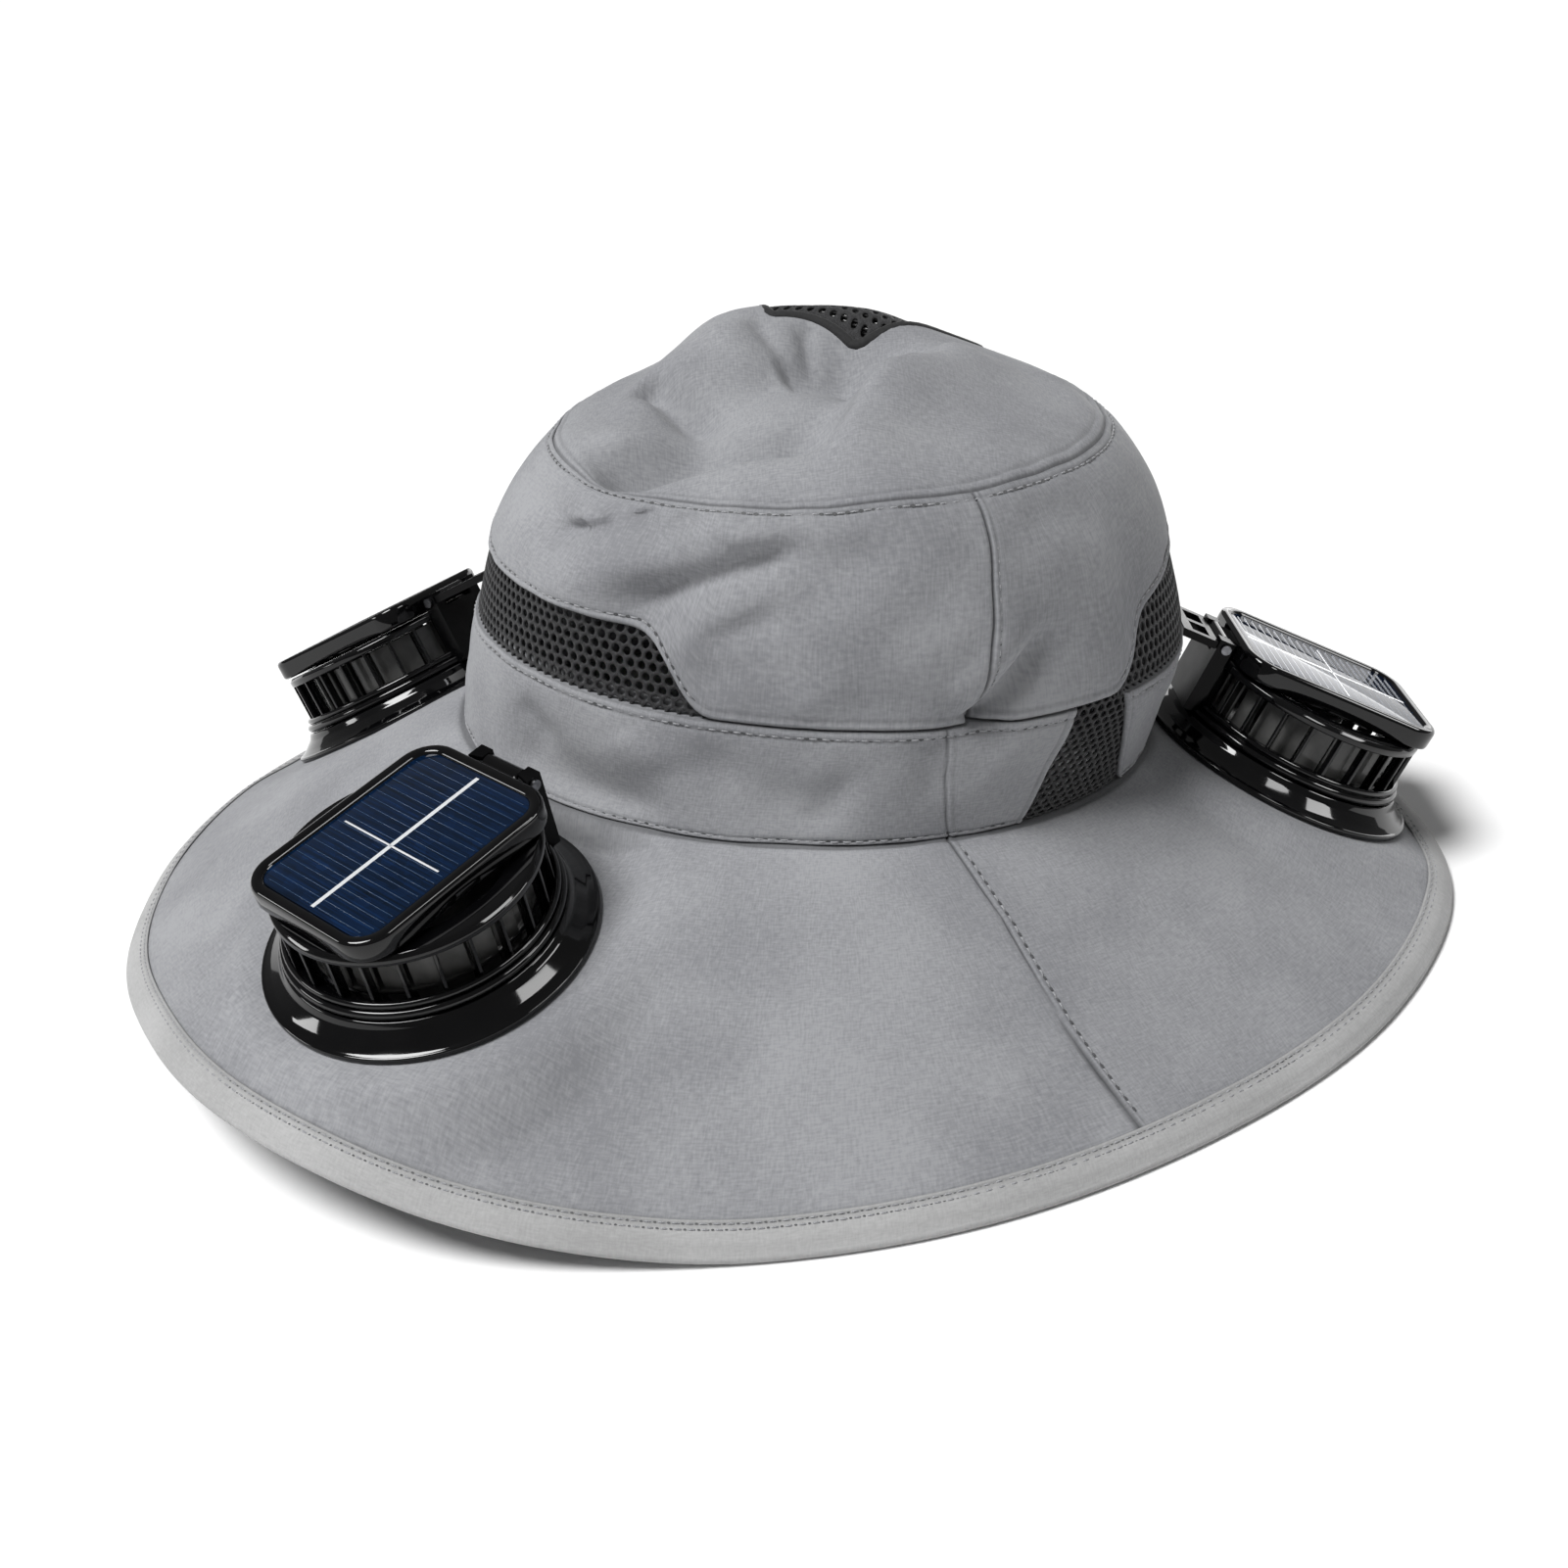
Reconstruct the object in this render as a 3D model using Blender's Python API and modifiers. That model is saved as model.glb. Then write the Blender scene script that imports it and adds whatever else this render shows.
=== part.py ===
"""Wide-brimmed cloth sun hat with mesh vents and three solar fans seated on its brim.

Metres, +Z up. The hat stands on the edge of its brim, with the origin under its middle.
"""

import bpy
import bmesh
import math
from mathutils import Matrix, Vector

MM = 0.001

# Brim
RIM_HALF_LENGTH = 185 * MM
RIM_HALF_WIDTH = 164 * MM
BRIM_DROP = 50 * MM
BRIM_BOW_FULL = 1.30
BRIM_BOW_FLAT = 0.78
BRIM_FULL_AZIMUTH = 235
FRONT_LIFT = 20 * MM
FRONT_LIFT_AZIMUTH = 224
FRONT_LIFT_SPREAD = 44
BINDING_WIDTH = 8 * MM
BINDING_THICKNESS = 2.6 * MM
BINDING_FOOT = 2.6 * MM

# Crown
HEAD_HALF_LENGTH = 96 * MM
HEAD_HALF_WIDTH = 89 * MM
CROWN_HEIGHT = 106 * MM
CLOTH = 1.5 * MM
NET = 1.2 * MM
SEAM_GAP = 0.6 * MM
VENT_TRIM = 2.6 * MM

# The flat place on the brim under a fan: how far it reaches past the fan's foot, how wide it
# runs out into the slope, and how far it lies below the fan
PAD_MARGIN = 4 * MM
PAD_BLEND = 16 * MM
PAD_DROP = 0.8 * MM

# Solar fans
FLANGE_RADIUS = 40 * MM
FLANGE_HEIGHT = 7 * MM
CAGE_RADIUS = 32.5 * MM
CAGE_WALL = 3.2 * MM
CAGE_HEIGHT = 17.5 * MM
RING_HEIGHT = 2.4 * MM
FIN_COUNT = 20
FIN_WIDTH_DEG = 4.2
BLADE_COUNT = 7
ROTOR_CLEARANCE = 1.2 * MM
HUB_RADIUS = 11 * MM
SHAFT_RADIUS = 1.5 * MM
SHAFT_CLEARANCE = 0.22 * MM
PANEL_LENGTH = 60 * MM
PANEL_WIDTH = 46 * MM
PANEL_DEPTH = 6 * MM
PANEL_CORNER = 9 * MM
CELL_MARGIN = 3.4 * MM
CELL_THICKNESS = 1.2 * MM
CELL_CORNER = 5 * MM
PIN_RADIUS = 1.4 * MM
PIN_CLEARANCE = 0.1 * MM
KNUCKLE_RADIUS = 2.6 * MM
KNUCKLE_WIDTH = 12 * MM
EAR_WIDTH = 4 * MM
EAR_WALL = 0.7 * MM
CLIP_THICKNESS = 2.2 * MM
CLIP_RIM = 2.2 * MM
SEAT_GAP = 0.3 * MM
POST_DEPTH = 5 * MM

# One row for each level of the crown. The columns are its height as a share of
# CROWN_HEIGHT, half length, half width, shift along X and shift along Y as shares of
# HEAD_HALF_LENGTH and HEAD_HALF_WIDTH, and its lean along X and along Y in degrees.
CROWN_SECTIONS = [
    (0.000, 0.985, 1.010, 0.105, 0.035, -4.7, -4.0),
    (0.138, 0.992, 0.990, 0.145, 0.030, -5.1, -3.4),
    (0.290, 0.995, 0.960, 0.190, 0.022, -5.4, -2.6),
    (0.486, 0.940, 0.925, 0.200, 0.010, -4.2, -2.8),
    (0.650, 0.865, 0.870, 0.212, 0.000, -2.8, -2.6),
    (0.784, 0.740, 0.780, 0.207, 0.000, -1.4, -2.0),
    (0.877, 0.540, 0.620, 0.165, 0.010, -0.5, -1.0),
    (0.949, 0.330, 0.400, 0.130, 0.030, 0.0, 0.0),
    (1.000, 0.000, 0.000, 0.110, 0.050, 0.0, 0.0),
]
SECTION_COLUMNS = 7
BAND_LEVEL = 2
TOP_SEAM_LEVEL = 5

# Folds of the top panel, seen from above. The columns are x1, y1, x2 and y2 of the fold's
# line, as shares of HEAD_HALF_LENGTH and HEAD_HALF_WIDTH from the crown's middle, its half
# width as a share of HEAD_HALF_LENGTH, and its rise as a share of CROWN_HEIGHT.
TOP_FOLDS = [
    (-0.60, -0.36, -0.15, 0.00, 0.20, -0.110),
    (-0.15, 0.00, 0.12, 0.22, 0.16, -0.060),
    (-0.55, -0.60, 0.02, -0.56, 0.13, 0.045),
    (0.02, -0.56, 0.36, -0.06, 0.15, 0.050),
    (-0.10, 0.30, 0.20, 0.45, 0.20, 0.050),
]

# Folds of the side wall and band. The columns are the first azimuth and level, the second
# azimuth and level, the half width in degrees, and how far the fold stands out as a share
# of CROWN_HEIGHT.
SIDE_FOLDS = [
    (237, 3.2, 259, 4.2, 6, -0.032),
    (220, 3.3, 234, 3.9, 6, 0.020),
    (259, 3.3, 272, 4.2, 6, -0.020),
    (221, 0.7, 239, 0.4, 6, -0.026),
    (252, 1.2, 262, 0.8, 6, -0.016),
    (290, 2.1, 302, 2.7, 5, -0.030),
    (280, 2.7, 290, 3.2, 6, 0.014),
    (196, 4.6, 214, 4.1, 6, -0.022),
    (60, 3.0, 84, 4.2, 9, 0.016),
    (120, 3.6, 140, 2.8, 8, -0.018),
]

# How many degrees round the crown are as long as one level up it
DEGREES_PER_LEVEL = 14

# Upper edge of the net round the crown: its azimuth, and its height as a share of the side
# wall from the band's seam.
NET_TOP_EDGE = [
    (-112, 0.00), (-118, 0.23), (-122, 0.30), (-136, 0.32), (-151, 0.31), (-170, 0.33),
    (-195, 0.44), (-230, 0.50), (-290, 0.52), (-335, 0.50), (-358, 0.44), (-375, 0.37),
    (-392, 0.30), (-397, 0.27), (-400, 0.18), (-403, 0.00),
]
BAND_WINDOW = {"top": (-53, -43), "bottom": (-58.5, -33)}
VENT_AZIMUTH = (58, 122)
VENT_LEVELS = (5.55, 7.0)

# Bulges of the rim's outline: azimuth, rise as a share of RIM_HALF_WIDTH, half width in degrees
RIM_BULGES = [
    (222, 0.040, 14), (240, 0.062, 17), (262, 0.018, 22), (308, -0.021, 20), (350, 0.022, 12),
]

# Fans: azimuth, distance of the foot's middle from the brim's seam as a share of its radius,
# tilt outward and lean to the side in degrees, how far it presses the brim up or down as a
# share of BRIM_DROP, and the share of the brim at which its flat seat starts to fade.
FANS = [
    (228, 1.072, 12, -3.3, -0.077, 0.84),
    (0, 0.935, 27, -3.0, 0.02, 0.90),
    (149, 1.120, 28, 4, -0.07, 0.90),
]
# The arm to the crown is seen on these fans only.
FANS_WITH_CLIP = (2, 3)

# Shares of the brim, from the seam to the binding, at which its rows of points lie
BRIM_ROWS = (0.0, 0.04, 0.15, 0.32, 0.51, 0.71, 0.92, 1.0)
AROUND_COUNT = 40
BRIM_COUNT = 54
PIECES = bpy.data.collections.new("solar_fan_hat")
CUTTERS = bpy.data.collections.new("cutters")


def clear_scene():
    for thing in list(bpy.data.objects):
        bpy.data.objects.remove(thing, do_unlink=True)
    bpy.context.scene.collection.children.link(PIECES)
    bpy.context.scene.collection.children.link(CUTTERS)
    CUTTERS.hide_render = True


def surface(name, colour, roughness, metallic=0.0):
    """A plain material of one colour."""
    made = bpy.data.materials.new(name)
    made.use_nodes = True
    shader = made.node_tree.nodes["Principled BSDF"]
    shader.inputs["Base Color"].default_value = (*colour, 1)
    shader.inputs["Roughness"].default_value = roughness
    shader.inputs["Metallic"].default_value = metallic
    made.diffuse_color = (*colour, 1)
    return made


def full_turn(count):
    return [360 * i / count for i in range(count)]


def smoothstep(low, high, value):
    t = min(1.0, max(0.0, (value - low) / (high - low)))
    return t * t * (3 - 2 * t)


def between(rows, column, place):
    """Catmull-Rom value of one column of a table at a place counted in rows."""
    last = len(rows) - 1
    i = min(max(int(math.floor(place)), 0), last - 1)
    t = place - i
    p = [rows[min(max(i + k, 0), last)][column] for k in (-1, 0, 1, 2)]
    a = 2 * p[1]
    b = p[2] - p[0]
    c = 2 * p[0] - 5 * p[1] + 4 * p[2] - p[3]
    d = 3 * p[1] - p[0] - 3 * p[2] + p[3]
    return (a + b * t + c * t * t + d * t ** 3) / 2


def distance_to_line(px, py, x1, y1, x2, y2):
    dx, dy = x2 - x1, y2 - y1
    t = ((px - x1) * dx + (py - y1) * dy) / (dx * dx + dy * dy)
    t = min(1.0, max(0.0, t))
    return math.hypot(px - x1 - t * dx, py - y1 - t * dy)


def turn_between(a, b):
    return (a - b + 180) % 360 - 180


def top_fold_rise(x, y):
    """How far the folds lift the top panel at a point measured from the crown's middle."""
    rise = 0.0
    for x1, y1, x2, y2, half_width, height in TOP_FOLDS:
        away = distance_to_line(x / HEAD_HALF_LENGTH, y / HEAD_HALF_WIDTH, x1, y1, x2, y2)
        rise += height * CROWN_HEIGHT * math.exp(-(away / half_width) ** 2)
    return rise


def side_fold_rise(azimuth, level):
    rise = 0.0
    for az1, level1, az2, level2, half_width, height in SIDE_FOLDS:
        along = turn_between(azimuth, az1)
        away = distance_to_line(
            along, level * DEGREES_PER_LEVEL, 0, level1 * DEGREES_PER_LEVEL,
            turn_between(az2, az1), level2 * DEGREES_PER_LEVEL,
        )
        rise += height * CROWN_HEIGHT * math.exp(-(away / half_width) ** 2)
    return rise


def crown_point(azimuth, level):
    """Outer surface of the crown: level 0 is the brim's seam, then one for each section."""
    height, length, width, shift_x, shift_y, lean_x, lean_y = (
        between(CROWN_SECTIONS, column, level) for column in range(SECTION_COLUMNS)
    )
    angle = math.radians(azimuth)
    out = side_fold_rise(azimuth, level) * smoothstep(TOP_SEAM_LEVEL, TOP_SEAM_LEVEL - 1, level)
    out *= smoothstep(0, 0.5, level)
    x = (max(length, 0) * HEAD_HALF_LENGTH + out) * math.cos(angle)
    y = (max(width, 0) * HEAD_HALF_WIDTH + out) * math.sin(angle)
    z = BRIM_DROP + height * CROWN_HEIGHT
    z += x * math.tan(math.radians(lean_x)) + y * math.tan(math.radians(lean_y))
    z += top_fold_rise(x, y) * smoothstep(TOP_SEAM_LEVEL - 0.6, TOP_SEAM_LEVEL + 1.2, level)
    return Vector((x + shift_x * HEAD_HALF_LENGTH, y + shift_y * HEAD_HALF_WIDTH, z)) - MIDDLE


def front_lift(azimuth):
    away = abs(turn_between(azimuth, FRONT_LIFT_AZIMUTH)) / FRONT_LIFT_SPREAD
    return FRONT_LIFT * math.cos(min(away, 1) * math.pi / 2) ** 2


def rim_reach(azimuth):
    """Distance of the rim from the middle of the ellipse that it follows."""
    angle = math.radians(azimuth)
    reach = 1 / math.hypot(math.cos(angle) / RIM_HALF_LENGTH, math.sin(angle) / RIM_HALF_WIDTH)
    for middle, rise, half_width in RIM_BULGES:
        away = turn_between(azimuth, middle) / half_width
        reach += rise * RIM_HALF_WIDTH * math.exp(-(away ** 2))
    return reach


def rim_middle():
    """Middle of the rim's bounding box, which the whole hat is moved by."""
    ends = []
    for azimuth in full_turn(BRIM_COUNT):
        angle, reach = math.radians(azimuth), rim_reach(azimuth)
        ends.append((reach * math.cos(angle), reach * math.sin(angle)))
    middle = [(min(column) + max(column)) / 2 for column in zip(*ends)]
    return Vector((*middle, 0))


MIDDLE = rim_middle()


def rim_point(azimuth, inset=0.0):
    """The brim's outer edge, on its underside; it stands on the ground but for one lift."""
    angle = math.radians(azimuth)
    reach = rim_reach(azimuth) - inset
    place = Vector((reach * math.cos(angle), reach * math.sin(angle), front_lift(azimuth)))
    return place - MIDDLE


def brim_start(azimuth):
    """Where the brim meets the crown's seam, just outside the band's lower edge."""
    seam = crown_point(azimuth, 0)
    outward = Vector((math.cos(math.radians(azimuth)), math.sin(math.radians(azimuth)), 0))
    return seam + outward * SEAM_GAP


def brim_free_point(azimuth, share):
    """Top of the brim before the fans flatten it. Share 0 is the seam, 1 the rim."""
    inner = brim_start(azimuth)
    rim = rim_point(azimuth)
    rim.z += BINDING_THICKNESS
    point = inner.lerp(rim, share)
    facing = math.cos(math.radians(azimuth - BRIM_FULL_AZIMUTH))
    bow = BRIM_BOW_FLAT + (BRIM_BOW_FULL - BRIM_BOW_FLAT) * (1 + facing) / 2
    point.z = inner.z + (rim.z - inner.z) * share ** bow
    return point


def fan_frame(azimuth, distance, tilt, lean, rise):
    """Where a fan's foot sits: X outward along the brim, Z along the fan's own axis."""
    outward = (rim_point(azimuth) - brim_start(azimuth)).xy.to_3d()
    middle = brim_free_point(azimuth, distance * FLANGE_RADIUS / outward.length)
    middle.z += rise * BRIM_DROP
    fall = math.radians(tilt)
    outward.normalize()
    level = outward * math.cos(fall) - Vector((0, 0, math.sin(fall)))
    side = Vector((0, 0, 1)).cross(outward)
    axis = level.cross(side)
    turned = Matrix.Rotation(math.radians(lean), 3, level)
    side, axis = turned @ side, turned @ axis
    frame = Matrix((level, side, axis)).transposed().to_4x4()
    frame.translation = middle
    return frame


FAN_FRAMES = [fan_frame(*row[:-1]) for row in FANS]


def brim_point(azimuth, share):
    """Top of the brim, flat where a fan's stiff foot is fixed to it."""
    point = brim_free_point(azimuth, share)
    for frame, row in zip(FAN_FRAMES, FANS):
        centre = frame.translation
        axis = frame.col[2].xyz
        off = point - centre
        flat = centre.z - PAD_DROP - (axis.x * off.x + axis.y * off.y) / axis.z
        away = math.hypot(off.x, off.y)
        pad = FLANGE_RADIUS + PAD_MARGIN
        weight = 1 - smoothstep(pad, pad + PAD_BLEND, away)
        weight *= smoothstep(0, BRIM_ROWS[1] * 0.9, share) * smoothstep(1, row[-1], share)
        point.z += (flat - point.z) * weight
    return point


def share_inside_rim(azimuth, distance):
    """Share of the brim at a distance from the rim, measured along the cloth."""
    step = 0.005
    share, length, point = 1.0, 0.0, brim_point(azimuth, 1.0)
    while length < distance and share > 2 * step:
        share -= step
        nearer = brim_point(azimuth, share)
        added = (nearer - point).length
        length += added
        point = nearer
    return share + step * (length - distance) / added


def link(obj, material):
    PIECES.objects.link(obj)
    obj.data.materials.append(material)
    return obj


def new_mesh(name, points, faces, material, smooth=True):
    data = bpy.data.meshes.new(name)
    data.from_pydata(points, [], faces)
    data.update()
    if smooth:
        data.shade_smooth()
    return link(bpy.data.objects.new(name, data), material)


def sheet(name, rows, material, thickness, closed=True):
    """A cloth wall: rows of points running anticlockwise, lowest row first, made solid inwards."""
    count = len(rows[0])
    points = [point for row in rows for point in row]
    faces = []
    for i in range(len(rows) - 1):
        for j in range(count if closed else count - 1):
            k = (j + 1) % count
            faces.append((i * count + j, i * count + k, (i + 1) * count + k, (i + 1) * count + j))
    obj = new_mesh(name, points, faces, material)
    thicken(obj, thickness)
    return obj


def thicken(obj, thickness):
    solid = obj.modifiers.new("thickness", "SOLIDIFY")
    solid.thickness = thickness
    solid.offset = -1
    solid.use_even_offset = False


def azimuths(start, end, count):
    return [start + (end - start) * i / count for i in range(count + 1)]


def level_gap():
    """The seam gap as a share of one crown level."""
    rise = CROWN_SECTIONS[BAND_LEVEL + 1][0] - CROWN_SECTIONS[BAND_LEVEL][0]
    return SEAM_GAP / (rise * CROWN_HEIGHT)


def net_height(azimuth):
    """Level of the net's upper edge at an azimuth, or the band's level where there is none."""
    turn = azimuth % 360 - 360
    if turn < NET_TOP_EDGE[-1][0]:
        turn += 360
    if turn > NET_TOP_EDGE[0][0]:
        turn -= 360
    share = 0.0
    for (az1, share1), (az2, share2) in zip(NET_TOP_EDGE, NET_TOP_EDGE[1:]):
        if az2 <= turn <= az1:
            share = share1 + (share2 - share1) * (turn - az1) / (az2 - az1)
    return BAND_LEVEL + share * (TOP_SEAM_LEVEL - BAND_LEVEL)


def window_side(which, share):
    """Azimuth of the band window's left or right side at a share of the band's height."""
    low = BAND_WINDOW["bottom"][which]
    return low + (BAND_WINDOW["top"][which] - low) * share


def build_band(cloth, net):
    gap = level_gap()
    levels = [0.0, 0.7, 1.35, BAND_LEVEL - gap]
    turn_gap = math.degrees(SEAM_GAP / HEAD_HALF_WIDTH)
    rows = []
    for level in levels:
        right = window_side(1, level / BAND_LEVEL) + turn_gap
        left = window_side(0, level / BAND_LEVEL) - turn_gap + 360
        rows.append([crown_point(az, level) for az in azimuths(right, left, AROUND_COUNT - 10)])
    sheet("band", rows, cloth, CLOTH, closed=False)
    rows = []
    for level in levels:
        left = window_side(0, level / BAND_LEVEL)
        right = window_side(1, level / BAND_LEVEL)
        rows.append([crown_point(az, level) for az in azimuths(left, right, 5)])
    sheet("band_mesh", rows, net, NET, closed=False)


def side_azimuths():
    """Columns of the side wall: every corner of the net's edge, and even steps elsewhere."""
    corners = [row[0] for row in NET_TOP_EDGE]
    found = []
    for az1, az2 in zip(corners, corners[1:] + [corners[0] - 360]):
        count = max(1, round((az1 - az2) * AROUND_COUNT / 360))
        found += azimuths(az1, az2, count)[:-1]
    return found[::-1]


def build_side(cloth, net):
    gap = level_gap()
    top = TOP_SEAM_LEVEL - gap
    columns = side_azimuths()
    steps = 4
    rows = []
    for i in range(steps + 1):
        row = []
        for az in columns:
            low = net_height(az) + gap
            row.append(crown_point(az, low + (top - low) * i / steps))
        rows.append(row)
    sheet("crown_side", rows, cloth, CLOTH)

    # The net stops short of the two points where its edge meets the band.
    first, last = NET_TOP_EDGE[0][0] - 2.5, NET_TOP_EDGE[-1][0] + 1.2
    inside = [az for az in columns if last + 1 < az < first - 1]
    low = BAND_LEVEL + gap
    steps = 3
    rows = []
    for i in range(steps + 1):
        row = []
        for az in [last] + inside + [first]:
            high = net_height(az) - gap * edge_steepness(az)
            row.append(crown_point(az, low + (high - low) * i / steps))
        rows.append(row)
    sheet("side_mesh", rows, net, NET, closed=False)


def edge_steepness(azimuth):
    """How much further down the gap has to reach where the net's edge runs steeply."""
    step = 1.5
    rise = abs(net_height(azimuth + step) - net_height(azimuth - step)) / level_gap() * SEAM_GAP
    run = math.radians(2 * step) * HEAD_HALF_WIDTH
    return math.hypot(1, rise / run)


def vent_rows(inset):
    """Rows of points across the half-moon vent, drawn in on every side by an inset."""
    level_inset = inset / (0.08 * CROWN_HEIGHT + 0.1 * HEAD_HALF_LENGTH)
    low, high = VENT_LEVELS[0] + level_inset, VENT_LEVELS[1] - level_inset
    rows = []
    for i in range(4):
        level = low + (high - low) * i / 3
        radius = between(CROWN_SECTIONS, 1, level) * HEAD_HALF_LENGTH
        turn = math.degrees(inset / radius)
        rows.append([
            crown_point(az, level)
            for az in azimuths(VENT_AZIMUTH[0] + turn, VENT_AZIMUTH[1] - turn, 6)
        ])
    return rows


def build_top(cloth, net, binding):
    gap = level_gap()
    start, end = VENT_AZIMUTH
    around = azimuths(start, end, 6) + azimuths(end, start + 360, AROUND_COUNT - 6)[1:-1]
    low, high = VENT_LEVELS
    levels = [TOP_SEAM_LEVEL + 3 * gap, low]
    levels += [low + (high - low) * (i + 1) / 3 for i in range(3)]
    levels += [7.5]
    count = len(around)
    points = [crown_point(az, level) for level in levels for az in around]
    apex = len(points)
    points.append(crown_point(0, len(CROWN_SECTIONS) - 1))
    faces = []
    for i in range(len(levels) - 1):
        for j in range(count):
            if 1 <= i <= 3 and j < 6:
                continue
            k = (j + 1) % count
            faces.append((i * count + j, i * count + k, (i + 1) * count + k, (i + 1) * count + j))
    last = (len(levels) - 1) * count
    faces += [(last + j, last + (j + 1) % count, apex) for j in range(count)]
    thicken(new_mesh("crown_top", points, faces, cloth), CLOTH)

    outer = loop_of(vent_rows(1.5 * SEAM_GAP))
    inner = loop_of(vent_rows(1.5 * SEAM_GAP + VENT_TRIM))
    sheet("vent_binding", [outer, inner], binding, CLOTH + NET)
    sheet("top_mesh", vent_rows(2.5 * SEAM_GAP + VENT_TRIM), net, NET, closed=False)


def loop_of(rows):
    """The border of a grid of points, anticlockwise."""
    right = [row[-1] for row in rows[1:-1]]
    left = [row[0] for row in rows[1:-1]]
    return rows[0] + right + rows[-1][::-1] + left[::-1]


def build_brim(cloth, binding):
    edges = {az: share_inside_rim(az, BINDING_WIDTH + SEAM_GAP) for az in full_turn(BRIM_COUNT)}
    rows = []
    for share in BRIM_ROWS:
        row = []
        for az in full_turn(BRIM_COUNT):
            row.append(brim_point(az, edges[az] * share))
        rows.append(row)
    sheet("brim", rows[::-1], cloth, CLOTH)

    # The binding's section: top inner, top outer, foot outer, foot inner, bottom inner.
    loops = [[] for _ in range(5)]
    for az in full_turn(BRIM_COUNT):
        top = brim_point(az, share_inside_rim(az, BINDING_WIDTH))
        loops[0].append(top)
        crest = rim_point(az)
        crest.z += BINDING_THICKNESS
        loops[1].append(crest)
        loops[2].append(rim_point(az))
        loops[3].append(rim_point(az, BINDING_FOOT))
        loops[4].append(top - Vector((0, 0, BINDING_THICKNESS)))
    count = len(loops[0])
    points = [point for loop in loops for point in loop]
    faces = []
    for i in range(5):
        for j in range(count):
            k = (j + 1) % count
            n = (i + 1) % 5
            faces.append((i * count + j, n * count + j, n * count + k, i * count + k))
    new_mesh("brim_binding", points, faces, binding, smooth=False)


def cells(name, radii, angles, heights, solid, material, frame):
    """A closed body made of the polar cells that solid(i, j, k) keeps.

    The first radius may be 0. Cells that meet share their points, so the body is one piece.
    """
    turns = len(angles)
    points = []
    numbers = {}
    faces = []

    def corner(i, j, k):
        j = 0 if radii[i] == 0 else j % turns
        if (i, j, k) not in numbers:
            angle = math.radians(angles[j])
            numbers[i, j, k] = len(points)
            points.append((radii[i] * math.cos(angle), radii[i] * math.sin(angle), heights[k]))
        return numbers[i, j, k]

    def add(*corners):
        face = []
        for c in corners:
            number = corner(*c)
            if number not in face:
                face.append(number)
        if len(face) > 2:
            faces.append(face)

    def kept(i, j, k):
        inside = 0 <= i < len(radii) - 1 and 0 <= k < len(heights) - 1
        return inside and solid(i, j % turns, k)

    for i in range(len(radii) - 1):
        for j in range(turns):
            for k in range(len(heights) - 1):
                if not kept(i, j, k):
                    continue
                a, b = j, j + 1
                if not kept(i + 1, j, k):
                    add((i + 1, a, k), (i + 1, b, k), (i + 1, b, k + 1), (i + 1, a, k + 1))
                if not kept(i - 1, j, k) and radii[i] > 0:
                    add((i, b, k), (i, a, k), (i, a, k + 1), (i, b, k + 1))
                if not kept(i, j, k + 1):
                    add((i, a, k + 1), (i + 1, a, k + 1), (i + 1, b, k + 1), (i, b, k + 1))
                if not kept(i, j, k - 1):
                    add((i, b, k), (i + 1, b, k), (i + 1, a, k), (i, a, k))
                if not kept(i, j - 1, k):
                    add((i, a, k), (i + 1, a, k), (i + 1, a, k + 1), (i, a, k + 1))
                if not kept(i, j + 1, k):
                    add((i + 1, b, k), (i, b, k), (i, b, k + 1), (i + 1, b, k + 1))
    obj = new_mesh(name, points, faces, material, smooth=False)
    obj.matrix_world = frame
    return obj


def paired_angles(count, width, start=0.0):
    """Angles of narrow columns and the wide spaces between them."""
    found = []
    for i in range(count):
        middle = start + 360 * i / count
        found += [middle - width / 2, middle + width / 2]
    return found


def turned(name, profile, material, frame, steps=22):
    """A ring turned about the fan's axis from a closed profile of radius and height."""
    data = bpy.data.meshes.new(name)
    points = [(radius, 0, height) for radius, height in profile]
    data.from_pydata(points, [(i, (i + 1) % len(points)) for i in range(len(points))], [])
    obj = link(bpy.data.objects.new(name, data), material)
    screw = obj.modifiers.new("turn", "SCREW")
    screw.steps = steps
    screw.render_steps = steps
    screw.use_merge_vertices = True
    screw.merge_threshold = 1e-5
    obj.matrix_world = frame
    return obj


def rounded_outline(length, width, corner, steps=3):
    """Anticlockwise points of a rectangle with round corners, its middle at 0."""
    points = []
    for sx, sy, start in ((1, 1, 0), (-1, 1, 90), (-1, -1, 180), (1, -1, 270)):
        for i in range(steps + 1):
            angle = math.radians(start + 90 * i / steps)
            points.append((
                sx * (length / 2 - corner) + corner * math.cos(angle),
                sy * (width / 2 - corner) + corner * math.sin(angle),
            ))
    return points


def loft(name, loops, material, frame, smooth=False):
    """A closed body through outlines of equal count, capped at both ends."""
    count = len(loops[0])
    points = [point for loop in loops for point in loop]
    faces = [tuple(range(count - 1, -1, -1))]
    for i in range(len(loops) - 1):
        for j in range(count):
            k = (j + 1) % count
            faces.append((i * count + j, i * count + k, (i + 1) * count + k, (i + 1) * count + j))
    top = (len(loops) - 1) * count
    faces.append(tuple(range(top, top + count)))
    obj = new_mesh(name, points, faces, material, smooth)
    obj.matrix_world = frame
    return obj


def box_into(mesh, low, high):
    """Adds a box to a bmesh."""
    size = Vector(high) - Vector(low)
    middle = (Vector(high) + Vector(low)) / 2
    place = Matrix.Translation(middle) @ Matrix.Diagonal((*size, 1))
    bmesh.ops.create_cube(mesh, size=1, matrix=place)


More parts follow.
